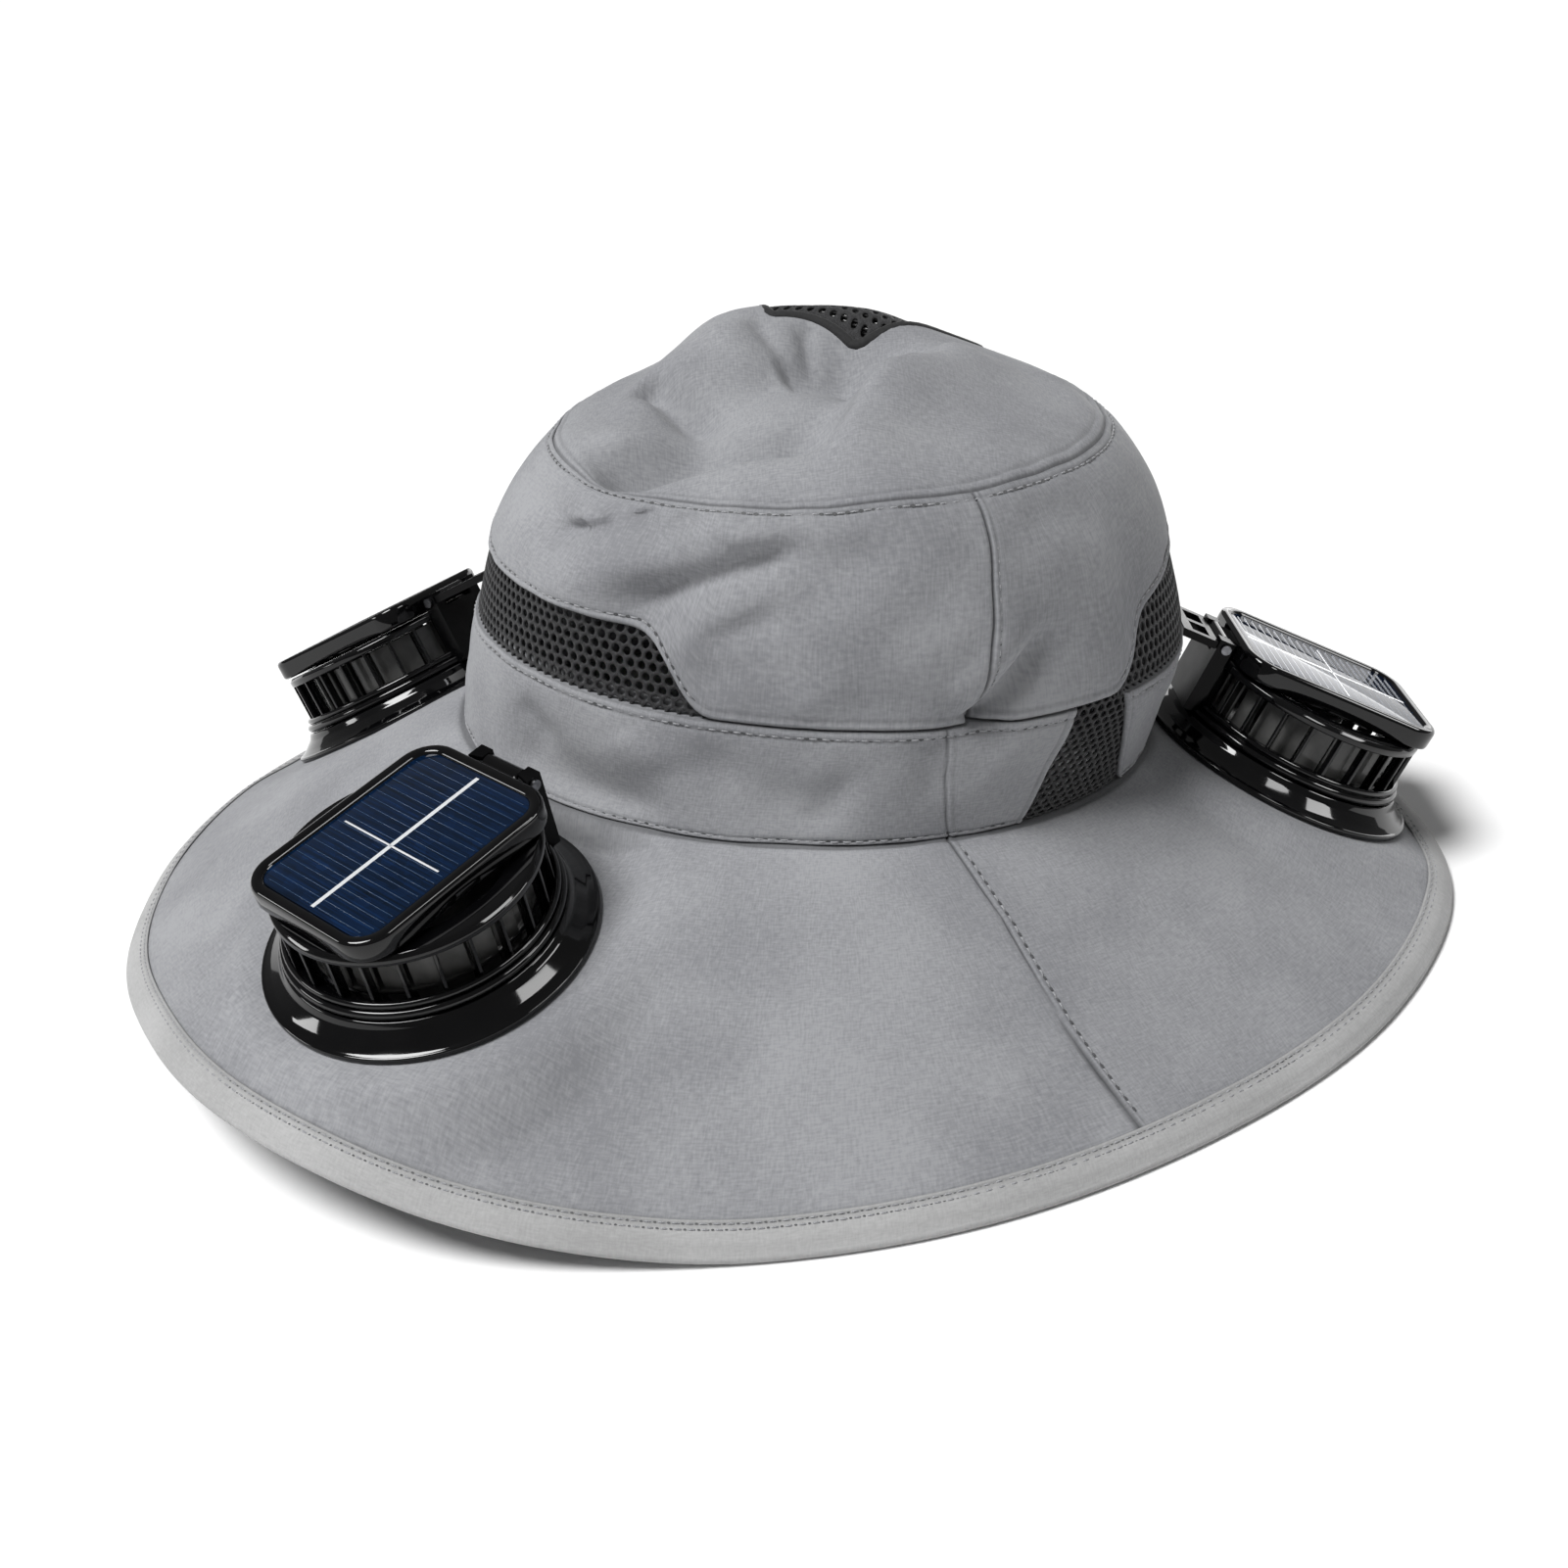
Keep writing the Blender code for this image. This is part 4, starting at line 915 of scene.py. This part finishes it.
def net_piece(name, node, inside, place, low, high, floor, ceiling, hole=NET_HOLE):
    """Knitted net: a lattice of hexagons, each with a round hole, kept where inside(s, h) says.

    s runs round and h up, both in metres; place(s, h) puts a point on the hat.
    """
    found, points, faces = {}, [], []
    row_step = NET_PITCH * math.sqrt(3) / 2
    corner = NET_PITCH / math.sqrt(3)
    edge = NET_PITCH / 2

    def number(s, h):
        key = (round(s * 2e5), round(h * 2e5))
        if key not in found:
            found[key] = len(points)
            points.append(place(s, h))
        return found[key]

    for j in range(math.floor(floor / row_step), math.ceil(ceiling / row_step) + 1):
        for i in range(math.floor(low / NET_PITCH) - 1, math.ceil(high / NET_PITCH) + 2):
            s = (i + (j % 2) / 2) * NET_PITCH
            h = j * row_step
            if not inside(s, h):
                continue
            rim, bore = [], []
            for k in range(12):
                angle = math.radians(30 * k + 30)
                reach = corner if k % 2 == 0 else edge
                rim.append(number(s + reach * math.cos(angle), h + reach * math.sin(angle)))
                points.append(place(s + hole * math.cos(angle), h + hole * math.sin(angle)))
                bore.append(len(points) - 1)
            for k in range(12):
                n = (k + 1) % 12
                faces.append((rim[k], rim[n], bore[n], bore[k]))
    piece = new_piece(name, points, faces, NET_YARN, "black_net", "hat", [node])
    thicken(piece, NET_THICKNESS)


def build_nets():
    per_degree = math.radians(1) * BAND_RADIUS * MM

    def on_crown(s, h):
        az = s / per_degree
        level = BAND_LEVEL + h / LEVEL_STEP
        return crown_point(az, level, fine=False) - crown_normal(az, level) * 0.9 * MM

    first, last = NET_TOP_EDGE[0][0], NET_TOP_EDGE[-1][0]

    def in_side(s, h):
        az = s / per_degree
        if not last - 1.5 < az < first + 1.5:
            return False
        return -2.5 * MM < h < (net_height(az) - BAND_LEVEL) * LEVEL_STEP + 2.5 * MM

    net_piece("side_net", "side_mesh", in_side, on_crown, last * per_degree, first * per_degree,
              -3 * MM, 40 * MM)

    def in_window(s, h):
        az = s / per_degree
        share = 1 + h / (BAND_LEVEL * LEVEL_STEP)
        if not -0.02 < share < 1.02:
            return False
        return window_side(0, share) - 1.6 < az < window_side(1, share) + 1.6

    net_piece("band_net", "band_mesh", in_window, on_crown, -62 * per_degree, -30 * per_degree,
              -BAND_LEVEL * LEVEL_STEP, 1 * MM)

    start, end = VENT_AZIMUTH
    middle = (start + end) / 2
    low, high = VENT_LEVELS
    span = (high - low) * VENT_LEVEL_STEP

    def on_top(s, h):
        level = low + h / VENT_LEVEL_STEP
        reach = between(CROWN_SECTIONS, 1, level) * HEAD_HALF_LENGTH
        az = middle + math.degrees(s / max(reach, 10 * MM))
        return crown_point(az, level) - crown_normal(az, level) * 0.7 * MM

    def in_vent(s, h):
        if not -1 * MM < h < span + 1 * MM:
            return False
        reach = between(CROWN_SECTIONS, 1, low + h / VENT_LEVEL_STEP) * HEAD_HALF_LENGTH
        return abs(math.degrees(s / reach)) < (end - start) / 2 + 1

    net_piece("top_net", "top_mesh", in_vent, on_top, -45 * MM, 45 * MM, 0, span,
              hole=TOP_NET_HOLE)


def build_vent_trim():
    """The black tape folded over the vent's edge: a soft flattened tube along it."""
    start, end = VENT_AZIMUTH
    low, high = VENT_LEVELS
    corners = []
    for (az1, level1), (az2, level2), count in (
        ((start, low), (end, low), 26), ((end, low), (end, high), 14),
        ((end, high), (start, high), 26), ((start, high), (start, low), 14),
    ):
        corners += [(az1 + (az2 - az1) * i / count, level1 + (level2 - level1) * i / count)
                    for i in range(count)]
    path = [crown_point(az, level) for az, level in corners]
    for _ in range(3):
        path = [(path[i - 1] + path[i] * 2 + path[(i + 1) % len(path)]) / 4
                for i in range(len(path))]
    normals = [crown_normal(az, level) for az, level in corners]
    path = [p - n * 0.5 * MM for p, n in zip(path, normals)]
    half_width, half_height, sides = 1.7 * MM, 1.2 * MM, 10
    points, uv = [], []
    for i, (point, out) in enumerate(zip(path, normals)):
        along = (path[(i + 1) % len(path)] - path[i - 1]).normalized()
        side = along.cross(out).normalized()
        for k in range(sides):
            angle = 2 * math.pi * k / sides
            points.append(point + side * (half_width * math.cos(angle))
                          + out * (half_height * math.sin(angle)))
            uv.append((i * 1.5 * MM, k * 0.8 * MM))
    new_piece("vent_trim", points, ring_faces(len(path), sides), BLACK_TAPE, "black_binding",
              "hat", ["vent_binding"], uv=uv)


# Brim


def brim_surface(azimuth, share):
    """The brim's cloth as it lies: its seam, its gathers and its slight waves."""
    point = brim_point(azimuth, share)
    aside = (azimuth - seam_azimuth(BRIM_SEAM, share)) * math.radians(1) * point.xy.length / MM
    away = share * BRIM_RUN
    rise = -0.5 * MM * bell(away, 0.9) + lap_shape(aside) * 0.8
    rise += pucker(point, away + 1) * 0.8 + pucker(point, abs(aside)) * 0.6
    point.z += rise + 0.35 * MM * noise.noise(point * 22) * smoothstep(0, 10, away)
    return point, aside


def build_brim():
    middle = 293.5
    columns = seam_columns(middle, BRIM_RADIUS, 0.75)
    inner_share = {az: share_inside_rim(az, BINDING_WIDTH - 1.2 * MM) for az in columns}
    places = [-0.035, -0.012] + [step / BRIM_RUN for step in EDGE_STEPS[:9]]
    places += [places[-1] + (1 - places[-1]) * i / 46 for i in range(1, 47)]

    def spot(place, column):
        az = bent_column(column, middle, seam_azimuth(BRIM_SEAM, max(place, 0)))
        point, aside = brim_surface(az, place * inner_share[column])
        # Painted shade at the brim's inner edge by the crown and along its joining seam
        return point, max(0.6 * bell(max(place * BRIM_RUN, 0), 0.8), lap_shadow(aside))

    cloth_piece("brim_cloth", "brim", places, columns, spot, FIRM_THICKNESS, flip=True)


def binding_section(azimuth):
    """Outline of the bound rim at one azimuth, from its inner edge over the top and under."""
    inner = brim_point(azimuth, share_inside_rim(azimuth, BINDING_WIDTH))
    crest = rim_point(azimuth)
    crest.z += BINDING_THICKNESS
    out = heading(azimuth)
    along = crest - inner
    outline = [inner + Vector((0, 0, -0.4 * MM)), inner + Vector((0, 0, 0.35 * MM))]
    for t, puff in ((0.06, 0.62), (0.13, 0.55), (0.20, 0.50), (0.30, 0.62), (0.45, 0.70),
                    (0.60, 0.62), (0.74, 0.45)):
        outline.append(inner + along * t + Vector((0, 0, puff * MM)))
    foot = rim_point(azimuth)
    thick = BINDING_THICKNESS
    centre = foot + Vector((0, 0, thick * 0.52)) - out * thick * 0.55
    for degrees in (70, 45, 20, -5, -30, -55, -80):
        angle = math.radians(degrees)
        outline.append(centre + out * (thick * 0.55 * math.cos(angle))
                       + Vector((0, 0, thick * 0.52 * math.sin(angle))))
    under = foot - out * 3.0 * MM
    outline.append(under + Vector((0, 0, 0.02 * MM)))
    outline.append(under - out * 2.0 * MM + Vector((0, 0, 0.5 * MM)))
    outline.append(inner - Vector((0, 0, 1.9 * MM)))
    return outline


def build_binding():
    """The folded tape round the rim, which the hat stands on."""
    columns = steps_round(0, 360, 0.6)
    outlines = [binding_section(az) for az in columns]
    sides = len(outlines[0])
    points, uv = [], []
    for i, (az, outline) in enumerate(zip(columns, outlines)):
        up = 0.0
        for k, point in enumerate(outline):
            if k:
                up += (point - outline[k - 1]).length
            wave = 0.12 * MM * noise.noise(Vector((point.x * 90, point.y * 90, 3)))
            low = point.z < front_lift(az) + 0.4 * MM
            points.append(point if low else point + Vector((0, 0, wave)))
            uv.append((i * 1.83 * MM, up))
    faces = [(a, d, c, b) for a, b, c, d in ring_faces(len(columns), sides)]
    # Painted shade at the binding's inner edge and along its first stitched row
    shadows = [0.55, 0.35, 0.1, 0.35, 0.1]
    seam = (shadows + [0.0] * (sides - len(shadows))) * len(columns)
    new_piece("rim_binding", points, faces, TAPE, "grey_binding", "hat", ["brim_binding"],
              uv=uv, seam=seam)


# Stitches


def oval(middle, a, b, size, flatness, sides):
    """Points round an oval that lies in the plane of a and b, with its half length along a."""
    points = []
    for k in range(sides):
        angle = 2 * math.pi * k / sides
        points.append(middle + a * size * math.cos(angle) + b * size * flatness * math.sin(angle))
    return points


def stitch_rows(name, lines, slot, hole=0.60):
    """Rows of lockstitch: each stitch a short thread that dips into the cloth at both ends,
    and after it a flat dark oval over the needle hole, painted shade of the pulled cloth. Each
    line is a list of points and normals; hole is half of a hole's length in mm."""
    stitches, holes = [], []
    step = (STITCH_LENGTH + STITCH_GAP) * MM
    for line in lines:
        along = [0.0]
        for (a, _), (b, _) in zip(line, line[1:]):
            along.append(along[-1] + (b - a).length)
        spot = 0
        for n in range(int(along[-1] / step)):
            rings = []
            for t, lift, size in ((0.0, -0.30, 0.5), (0.18, 0.10, 0.95), (0.5, 0.22, 1.0),
                                  (0.82, 0.10, 0.95), (1.0, -0.30, 0.5)):
                where = n * step + t * STITCH_LENGTH * MM
                while spot < len(along) - 2 and along[spot + 1] < where:
                    spot += 1
                (a, na), (b, nb) = line[spot], line[spot + 1]
                share = (where - along[spot]) / max(along[spot + 1] - along[spot], 1e-9)
                out = na.lerp(nb, share).normalized()
                middle = a.lerp(b, share) + out * lift * MM
                side = (b - a).cross(out).normalized()
                rings.append(oval(middle, side, out, size * STITCH_SIZE * MM, 1, 5))
            stitches.append(stacked(rings))
            # Painted shade: a flat dark oval laid on the cloth over each needle hole
            ahead = out.cross(side)
            middle = middle + ahead * STITCH_GAP / 2 * MM + out * 0.42 * MM
            holes.append((oval(middle, ahead, side, hole * MM, 0.65, 8), [tuple(range(8))]))
    new_piece(name, *joined(stitches), THREAD, slot, "hat")
    new_piece(name + "_needle_hole_shade", *joined(holes), NEEDLE_HOLE_SHADE, slot, "hat")


def on_crown_line(spots, lift):
    """Points and normals on the crown along a list of azimuths and levels."""
    line = []
    for az, level in spots:
        normal = crown_normal(az, level)
        line.append((crown_point(az, level) + normal * lift, normal))
    return line


def build_stitches():
    inset = EDGE_STITCH * MM / LEVEL_STEP + 0.014
    levels = [2.12 + 0.05 * i for i in range(57)]
    aside = LAP_STITCH / (math.radians(1) * WALL_RADIUS)
    lines = [[(az, TOP_SEAM_LEVEL - inset) for az in range(361)],
             [(az, inset) for az in range(327, 660)],
             [(az, BAND_LEVEL - inset) for az in range(-42, 307)],
             [(az, net_height(az) + inset) for az in range(-404, -110)],
             [(seam_azimuth(WALL_SEAM, level) + aside, level) for level in levels]]
    stitch_rows("crown_stitches", [on_crown_line(spots, -0.20 * MM) for spots in lines],
                "grey_polyester")

    line = []
    for i in range(120):
        share = 0.03 + 0.87 * i / 119
        az = seam_azimuth(BRIM_SEAM, share)
        az += LAP_STITCH / (math.radians(1) * brim_point(az, share).xy.length / MM)
        line.append((brim_surface(az, share)[0], Vector((0.2, -0.3, 0.93)).normalized()))
    stitch_rows("brim_seam_stitches", [line], "grey_polyester")

    lines = []
    for t, puff in ((0.13, 0.38), (0.30, 0.46)):
        line = []
        for az in steps_round(0, 360, 1.0) + [360]:
            inner = brim_point(az, share_inside_rim(az, BINDING_WIDTH))
            crest = rim_point(az)
            crest.z += BINDING_THICKNESS
            out = (heading(az) + Vector((0, 0, 2.2))).normalized()
            line.append((inner + (crest - inner) * t + Vector((0, 0, puff * MM)), out))
        lines.append(line)
    stitch_rows("binding_stitches", lines, "grey_binding", hole=0.36)


# Solar fans, each made in its own frame and then placed


def lathe(profile, place, steps=96):
    """Points and faces of a ring whose closed profile is turned about the fan's axis."""
    points = []
    for i in range(steps):
        angle = 2 * math.pi * i / steps
        for radius, height in profile:
            points.append(place @ Vector((radius * math.cos(angle), radius * math.sin(angle), height)))
    return points, ring_faces(steps, len(profile))


def rounded(profile, radius, steps=3):
    """Rounds each corner of a closed profile of radius and height."""
    found = []
    count = len(profile)
    for i in range(count):
        here = Vector(profile[i])
        before = Vector(profile[i - 1])
        after = Vector(profile[(i + 1) % count])
        reach = min(radius, (here - before).length * 0.45, (after - here).length * 0.45)
        a = here + (before - here).normalized() * reach
        b = here + (after - here).normalized() * reach
        for k in range(steps + 1):
            t = k / steps
            found.append(tuple(a * (1 - t) ** 2 + here * 2 * t * (1 - t) + b * t * t))
    return found


def rounded_outline(length, width, corner, steps=10):
    points = []
    for sx, sy, start in ((1, 1, 0), (-1, 1, 90), (-1, -1, 180), (1, -1, 270)):
        for i in range(steps + 1):
            angle = math.radians(start + 90 * i / steps)
            points.append((
                sx * (length / 2 - corner) + corner * math.cos(angle),
                sy * (width / 2 - corner) + corner * math.sin(angle),
            ))
    return points


def stacked(loops, place=Matrix()):
    """Points and faces of a body through outlines of equal count, capped at both ends."""
    count = len(loops[0])
    points = [place @ Vector(point) for loop in loops for point in loop]
    top = (len(loops) - 1) * count
    faces = [tuple(range(count - 1, -1, -1))] + grid_faces(len(loops), count, True)
    return points, faces + [tuple(range(top, top + count))]


def joined(parts):
    points, faces = [], []
    for more, added in parts:
        first = len(points)
        points += more
        faces += [tuple(first + k for k in face) for face in added]
    return points, faces


def block(low, high, ease, place):
    """A box with eased edges, its long way up."""
    x = (low[0] + high[0]) / 2
    y = (low[1] + high[1]) / 2
    length, width = high[0] - low[0], high[1] - low[1]
    loops = []
    for inset, z in ((ease, low[2]), (0, low[2] + ease), (0, high[2] - ease), (ease, high[2])):
        outline = rounded_outline(length - 2 * inset, width - 2 * inset, ease, 3)
        loops.append([(x + px, y + py, z) for px, py in outline])
    return stacked(loops, place)


def rod(radius, low, high, x, z, place):
    """A round bar along Y with eased ends."""
    ease, sides = 0.2 * MM, 28
    turns = [2 * math.pi * k / sides for k in range(sides)]
    loops = []
    for y, size in ((low, radius - ease), (low + ease, radius), (high - ease, radius),
                    (high, radius - ease)):
        loops.append([(x + size * math.cos(turn), y, z - size * math.sin(turn)) for turn in turns])
    return stacked(loops, place)


def fan_piece(name, parts, material, slot, body, nodes=(), sharp=40, uv=None):
    points, faces = joined(parts)
    new_piece(name, points, faces, material, slot, body, nodes, sharp=sharp, uv=uv)


def build_foot(tag, place):
    """The wide foot: a thin upright lip and a glossy hollowed cone."""
    neck = CAGE_RADIUS + 2.2 * MM
    lip = FLANGE_RADIUS + 1.0 * MM
    profile = [
        (lip - 2.2 * MM, SEAT_GAP), (lip, SEAT_GAP), (lip, 1.7 * MM), (lip - 0.9 * MM, 1.9 * MM),
        (lip - 2.6 * MM, 2.9 * MM), (neck + 0.9 * MM, 5.2 * MM), (neck, FLANGE_HEIGHT),
        (neck - 3.4 * MM, FLANGE_HEIGHT), (neck - 3.4 * MM, 4.6 * MM),
    ]
    fan_piece("fan_foot" + tag, [lathe(rounded(profile, 0.5 * MM), place)], GLOSS_ABS,
              "gloss_black_plastic", "hat", ["base_flange" + tag])


def bead(radius, height, size, place):
    turns = [k * math.pi / 6 for k in range(12)]
    return lathe([(radius + size * math.cos(a), height + size * math.sin(a)) for a in turns], place)


def build_cage(tag, place):
    """The fan's round cage: rolled rings, upright fins, and a dark cap ring under the panel."""
    outer = CAGE_RADIUS
    inner = CAGE_RADIUS - CAGE_WALL
    parts = [
        bead(outer + 0.9 * MM, CAGE_FOOT + 1.0 * MM, 1.15 * MM, place),
        bead(outer + 0.1 * MM, CAGE_FOOT + 3.1 * MM, 0.95 * MM, place),
    ]
    low = rounded([(inner, CAGE_FOOT), (outer + 0.6 * MM, CAGE_FOOT),
                   (outer, CAGE_FOOT + 3.6 * MM), (inner, CAGE_FOOT + 3.6 * MM)], 0.3 * MM)
    parts.append(lathe(low, place))
    top = rounded([(inner, CAGE_TOP - 2.6 * MM), (outer, CAGE_TOP - 2.6 * MM),
                   (outer + 0.1 * MM, CAGE_TOP - 0.9 * MM), (outer - 1.0 * MM, CAGE_TOP),
                   (inner - 3.5 * MM, CAGE_TOP), (inner - 3.5 * MM, CAGE_TOP - 0.9 * MM),
                   (inner, CAGE_TOP - 1.2 * MM)], 0.35 * MM)
    parts.append(lathe(top, place))
    for i in range(FIN_COUNT):
        turn = place @ Matrix.Rotation(math.radians(180 + 360 * i / FIN_COUNT), 4, "Z")
        fin = block((inner + 0.2 * MM, -0.45 * MM, CAGE_FOOT + 3.0 * MM),
                    (outer - 0.2 * MM, 0.45 * MM, CAGE_TOP - 2.0 * MM), 0.2 * MM, turn)
        parts.append(fin)
    fan_piece("fan_housing" + tag, parts, GLOSS_ABS, "gloss_black_plastic", "hat",
              ["fan_cage" + tag])


def build_rotor(tag, place):
    """A centrifugal rotor: a hub on a floor disc, with flat glossy blades round its edge."""
    tip = CAGE_RADIUS - CAGE_WALL - 1.2 * MM
    floor = CAGE_FOOT + 1.6 * MM
    roof = CAGE_TOP - 3.0 * MM
    bore = SHAFT_RADIUS + 0.2 * MM
    hub = rounded([(bore, floor), (tip - 0.4 * MM, floor), (tip - 0.4 * MM, floor + 1.2 * MM),
                   (HUB_RADIUS + 1 * MM, floor + 1.4 * MM), (HUB_RADIUS, roof - 1.5 * MM),
                   (HUB_RADIUS - 2 * MM, roof - 0.3 * MM), (bore, roof - 0.3 * MM)], 0.5 * MM)
    parts = [lathe(hub, place)]
    for i in range(BLADE_COUNT):
        turn = place @ Matrix.Rotation(math.radians(360 * (i + 0.5) / BLADE_COUNT), 4, "Z")
        root = turn @ Matrix.Translation((tip - 1.3 * MM, 0, 0))
        root = root @ Matrix.Rotation(math.radians(78), 4, "Z")
        parts.append(block((-3.2 * MM, -0.4 * MM, floor + 0.6 * MM), (3.2 * MM, 0.4 * MM, roof),
                           0.25 * MM, root))
    # The blades' mid grey is painted reflection on black plastic
    fan_piece("fan_rotor" + tag, parts, BLADE_ABS_PAINTED_REFLECTION, "gloss_black_plastic", "rotor_body" + tag,
              ["rotor" + tag])


def build_panel(tag, place):
    """The panel's rounded frame, with an eased rim and a bevel down to its cell."""
    steps = [
        (2.0, 0.0), (0.8, 0.05), (0.2, 0.45), (0.0, 1.1), (0.0, 4.7), (0.15, 5.35), (0.6, 5.85),
        (1.2, 6.0), (2.5, 5.92), (2.9, 5.7), (3.35, 5.15), (3.4, 5.0),
    ]
    loops = []
    for inset, height in steps:
        corner = max(PANEL_CORNER - inset * MM, CELL_CORNER)
        outline = rounded_outline(PANEL_LENGTH - 2 * inset * MM, PANEL_WIDTH - 2 * inset * MM, corner)
        loops.append([(x, y, PANEL_FOOT + height * MM) for x, y in outline])
    parts = [stacked(loops, place)]
    half = KNUCKLE_WIDTH / 2
    parts.append(rod(KNUCKLE_RADIUS - 0.4 * MM, -half, half, HINGE_X, HINGE_Z, place))
    parts.append(block((HINGE_X, -half + 0.2 * MM, HINGE_Z - 1.6 * MM),
                       (-PANEL_LENGTH / 2 + 2 * MM, half - 0.2 * MM, HINGE_Z + 1.6 * MM),
                       0.3 * MM, place))
    fan_piece("panel_case" + tag, parts, GLOSS_ABS, "gloss_black_plastic", "panel" + tag,
              ["panel_frame" + tag], sharp=38)

    length = PANEL_LENGTH - 2 * CELL_MARGIN - 0.2 * MM
    width = PANEL_WIDTH - 2 * CELL_MARGIN - 0.2 * MM
    face = PANEL_TOP - 0.75 * MM
    loops = []
    for inset, z in ((0, face - 0.2 * MM), (0, face - 0.05 * MM), (0.1 * MM, face)):
        outline = rounded_outline(length - 2 * inset, width - 2 * inset, CELL_CORNER - inset)
        loops.append([(x, y, z) for x, y in outline])
    fan_piece("panel_cell" + tag, [stacked(loops, place)], CELL, "solar_cell_blue", "panel" + tag,
              ["solar_cell" + tag], sharp=38, uv=[(x, y) for loop in loops for x, y, _ in loop])

    over = face + 0.03 * MM
    bars = [block((-length / 2 + 1.2 * MM, -0.55 * MM, face - 0.1 * MM),
                  (length / 2 - 1.2 * MM, 0.55 * MM, over), 0.01 * MM, place),
            block((1.8 * MM, -width / 2 + 2.8 * MM, face - 0.1 * MM),
                  (2.3 * MM, width / 2 - 2.8 * MM, over), 0.01 * MM, place)]
    fan_piece("cell_busbars" + tag, bars, BUSBAR, "solar_cell_blue", "panel" + tag, sharp=38)
    lines = []
    for i in range(-10, 11):
        x = (i + 0.1) * 2.45 * MM
        reach = width / 2 - 0.8 * MM - max(0, abs(x) - length / 2 + CELL_CORNER) * 0.7
        lines.append(block((x - 0.09 * MM, -reach, face - 0.1 * MM),
                           (x + 0.09 * MM, reach, face + 0.015 * MM), 0.01 * MM, place))
    fan_piece("cell_fingers" + tag, lines, FINGERS, "solar_cell_blue", "panel" + tag, sharp=38)


def dress_hard_nodes():
    """The hinge posts, pins, arms and motors keep their solids, with eased edges."""
    for start, material in (("hinge_post", SATIN_ABS), ("hinge_pin", STEEL),
                            ("motor_mount", STEEL), ("crown_clip", SATIN_ABS)):
        for number in FANS_WITH_CLIP if start == "crown_clip" else (1, 2, 3):
            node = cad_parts[f"{start}_{number}"]
            node.data.materials.clear()
            node.data.materials.append(material)
            ease = node.modifiers.new("eased edges", "BEVEL")
            ease.width = 0.3 * MM
            ease.segments = 2
            ease.limit_method = "ANGLE"
            ease.angle_limit = math.radians(40)


# Floor and light


def staged(name, points, faces, settings):
    """A paper surface of the studio, which isn't part of the hat."""
    data = bpy.data.meshes.new(name)
    data.from_pydata(points, [], faces)
    data.materials.append(finish_named(name + " paper", settings)[0])
    sheet = bpy.data.objects.new(name, data)
    bpy.context.scene.collection.objects.link(sheet)
    return sheet


def build_stage():
    reach = 9
    corners = [(x * reach, y * reach, 0) for x, y in ((-1, -1), (1, -1), (1, 1), (-1, 1))]
    floor = staged("floor", corners, [(0, 1, 2, 3)],
                   {"Roughness": 0.9, "Base Color": tint("#f8f8f8")})
    floor.location.z = -0.1 * MM

    # A pale backdrop stands round the floor's edge for the low views. Only the camera meets
    # it, so it adds nothing to the light or to the reflections.
    steps, height = 64, 5
    ring = [heading(360 * i / steps) * 0.98 * reach for i in range(steps)]
    backdrop = staged(
        "backdrop", [(x, y, z) for z in (-0.1, height) for x, y, _ in ring],
        grid_faces(2, steps, True),
        {"Roughness": 0.9, "Base Color": tint("#f8f8f8"),
         "Emission Color": tint("#f2f2f2"), "Emission Strength": 0.9})
    backdrop.visible_diffuse = backdrop.visible_glossy = False
    backdrop.visible_transmission = backdrop.visible_shadow = False

    world = bpy.data.worlds.new("studio")
    world.use_nodes = True
    background = world.node_tree.nodes["Background"].inputs
    background["Color"].default_value = (1, 1, 1, 1)
    background["Strength"].default_value = 0.16
    bpy.context.scene.world = world
    bpy.context.scene.view_settings.view_transform = "Standard"

    # One broad soft light overhead at the left, and softboxes that only gloss shows
    for name, kind, place, power, size in (
        ("overhead light", "SUN", (-0.42, -0.15, 0.88), 3.6, 26),
        ("left softbox", "AREA", (-1.60, -0.12, 0.60), 3.5, 0.45),
        ("right softbox", "AREA", (1.40, -0.22, 0.90), 8, 0.70),
        ("high right softbox", "AREA", (0.80, -0.45, 1.28), 6, 0.60),
        ("back softbox", "AREA", (0.95, 1.70, 0.20), 12, 1.80),
    ):
        data = bpy.data.lights.new(name, kind)
        data.energy = power
        lamp = bpy.data.objects.new(name, data)
        if kind == "SUN":
            data.angle = math.radians(size)
        else:
            data.shape = "RECTANGLE"
            data.size, data.size_y = size, size * 0.5
            lamp.visible_diffuse = False
            lamp.visible_camera = False
        lamp.location = place
        aim = Vector((0, 0, 0.05)) - Vector(place)
        lamp.rotation_euler = aim.to_track_quat("-Z", "Y").to_euler()
        bpy.context.scene.collection.objects.link(lamp)


build_wall()
build_band()
build_top()
build_nets()
build_vent_trim()
build_brim()
build_binding()
build_stitches()
for number, place in enumerate(FAN_FRAMES, start=1):
    tag = f"_{number}"
    build_foot(tag, place)
    build_cage(tag, place)
    build_rotor(tag, place)
    build_panel(tag, place)
dress_hard_nodes()
build_stage()
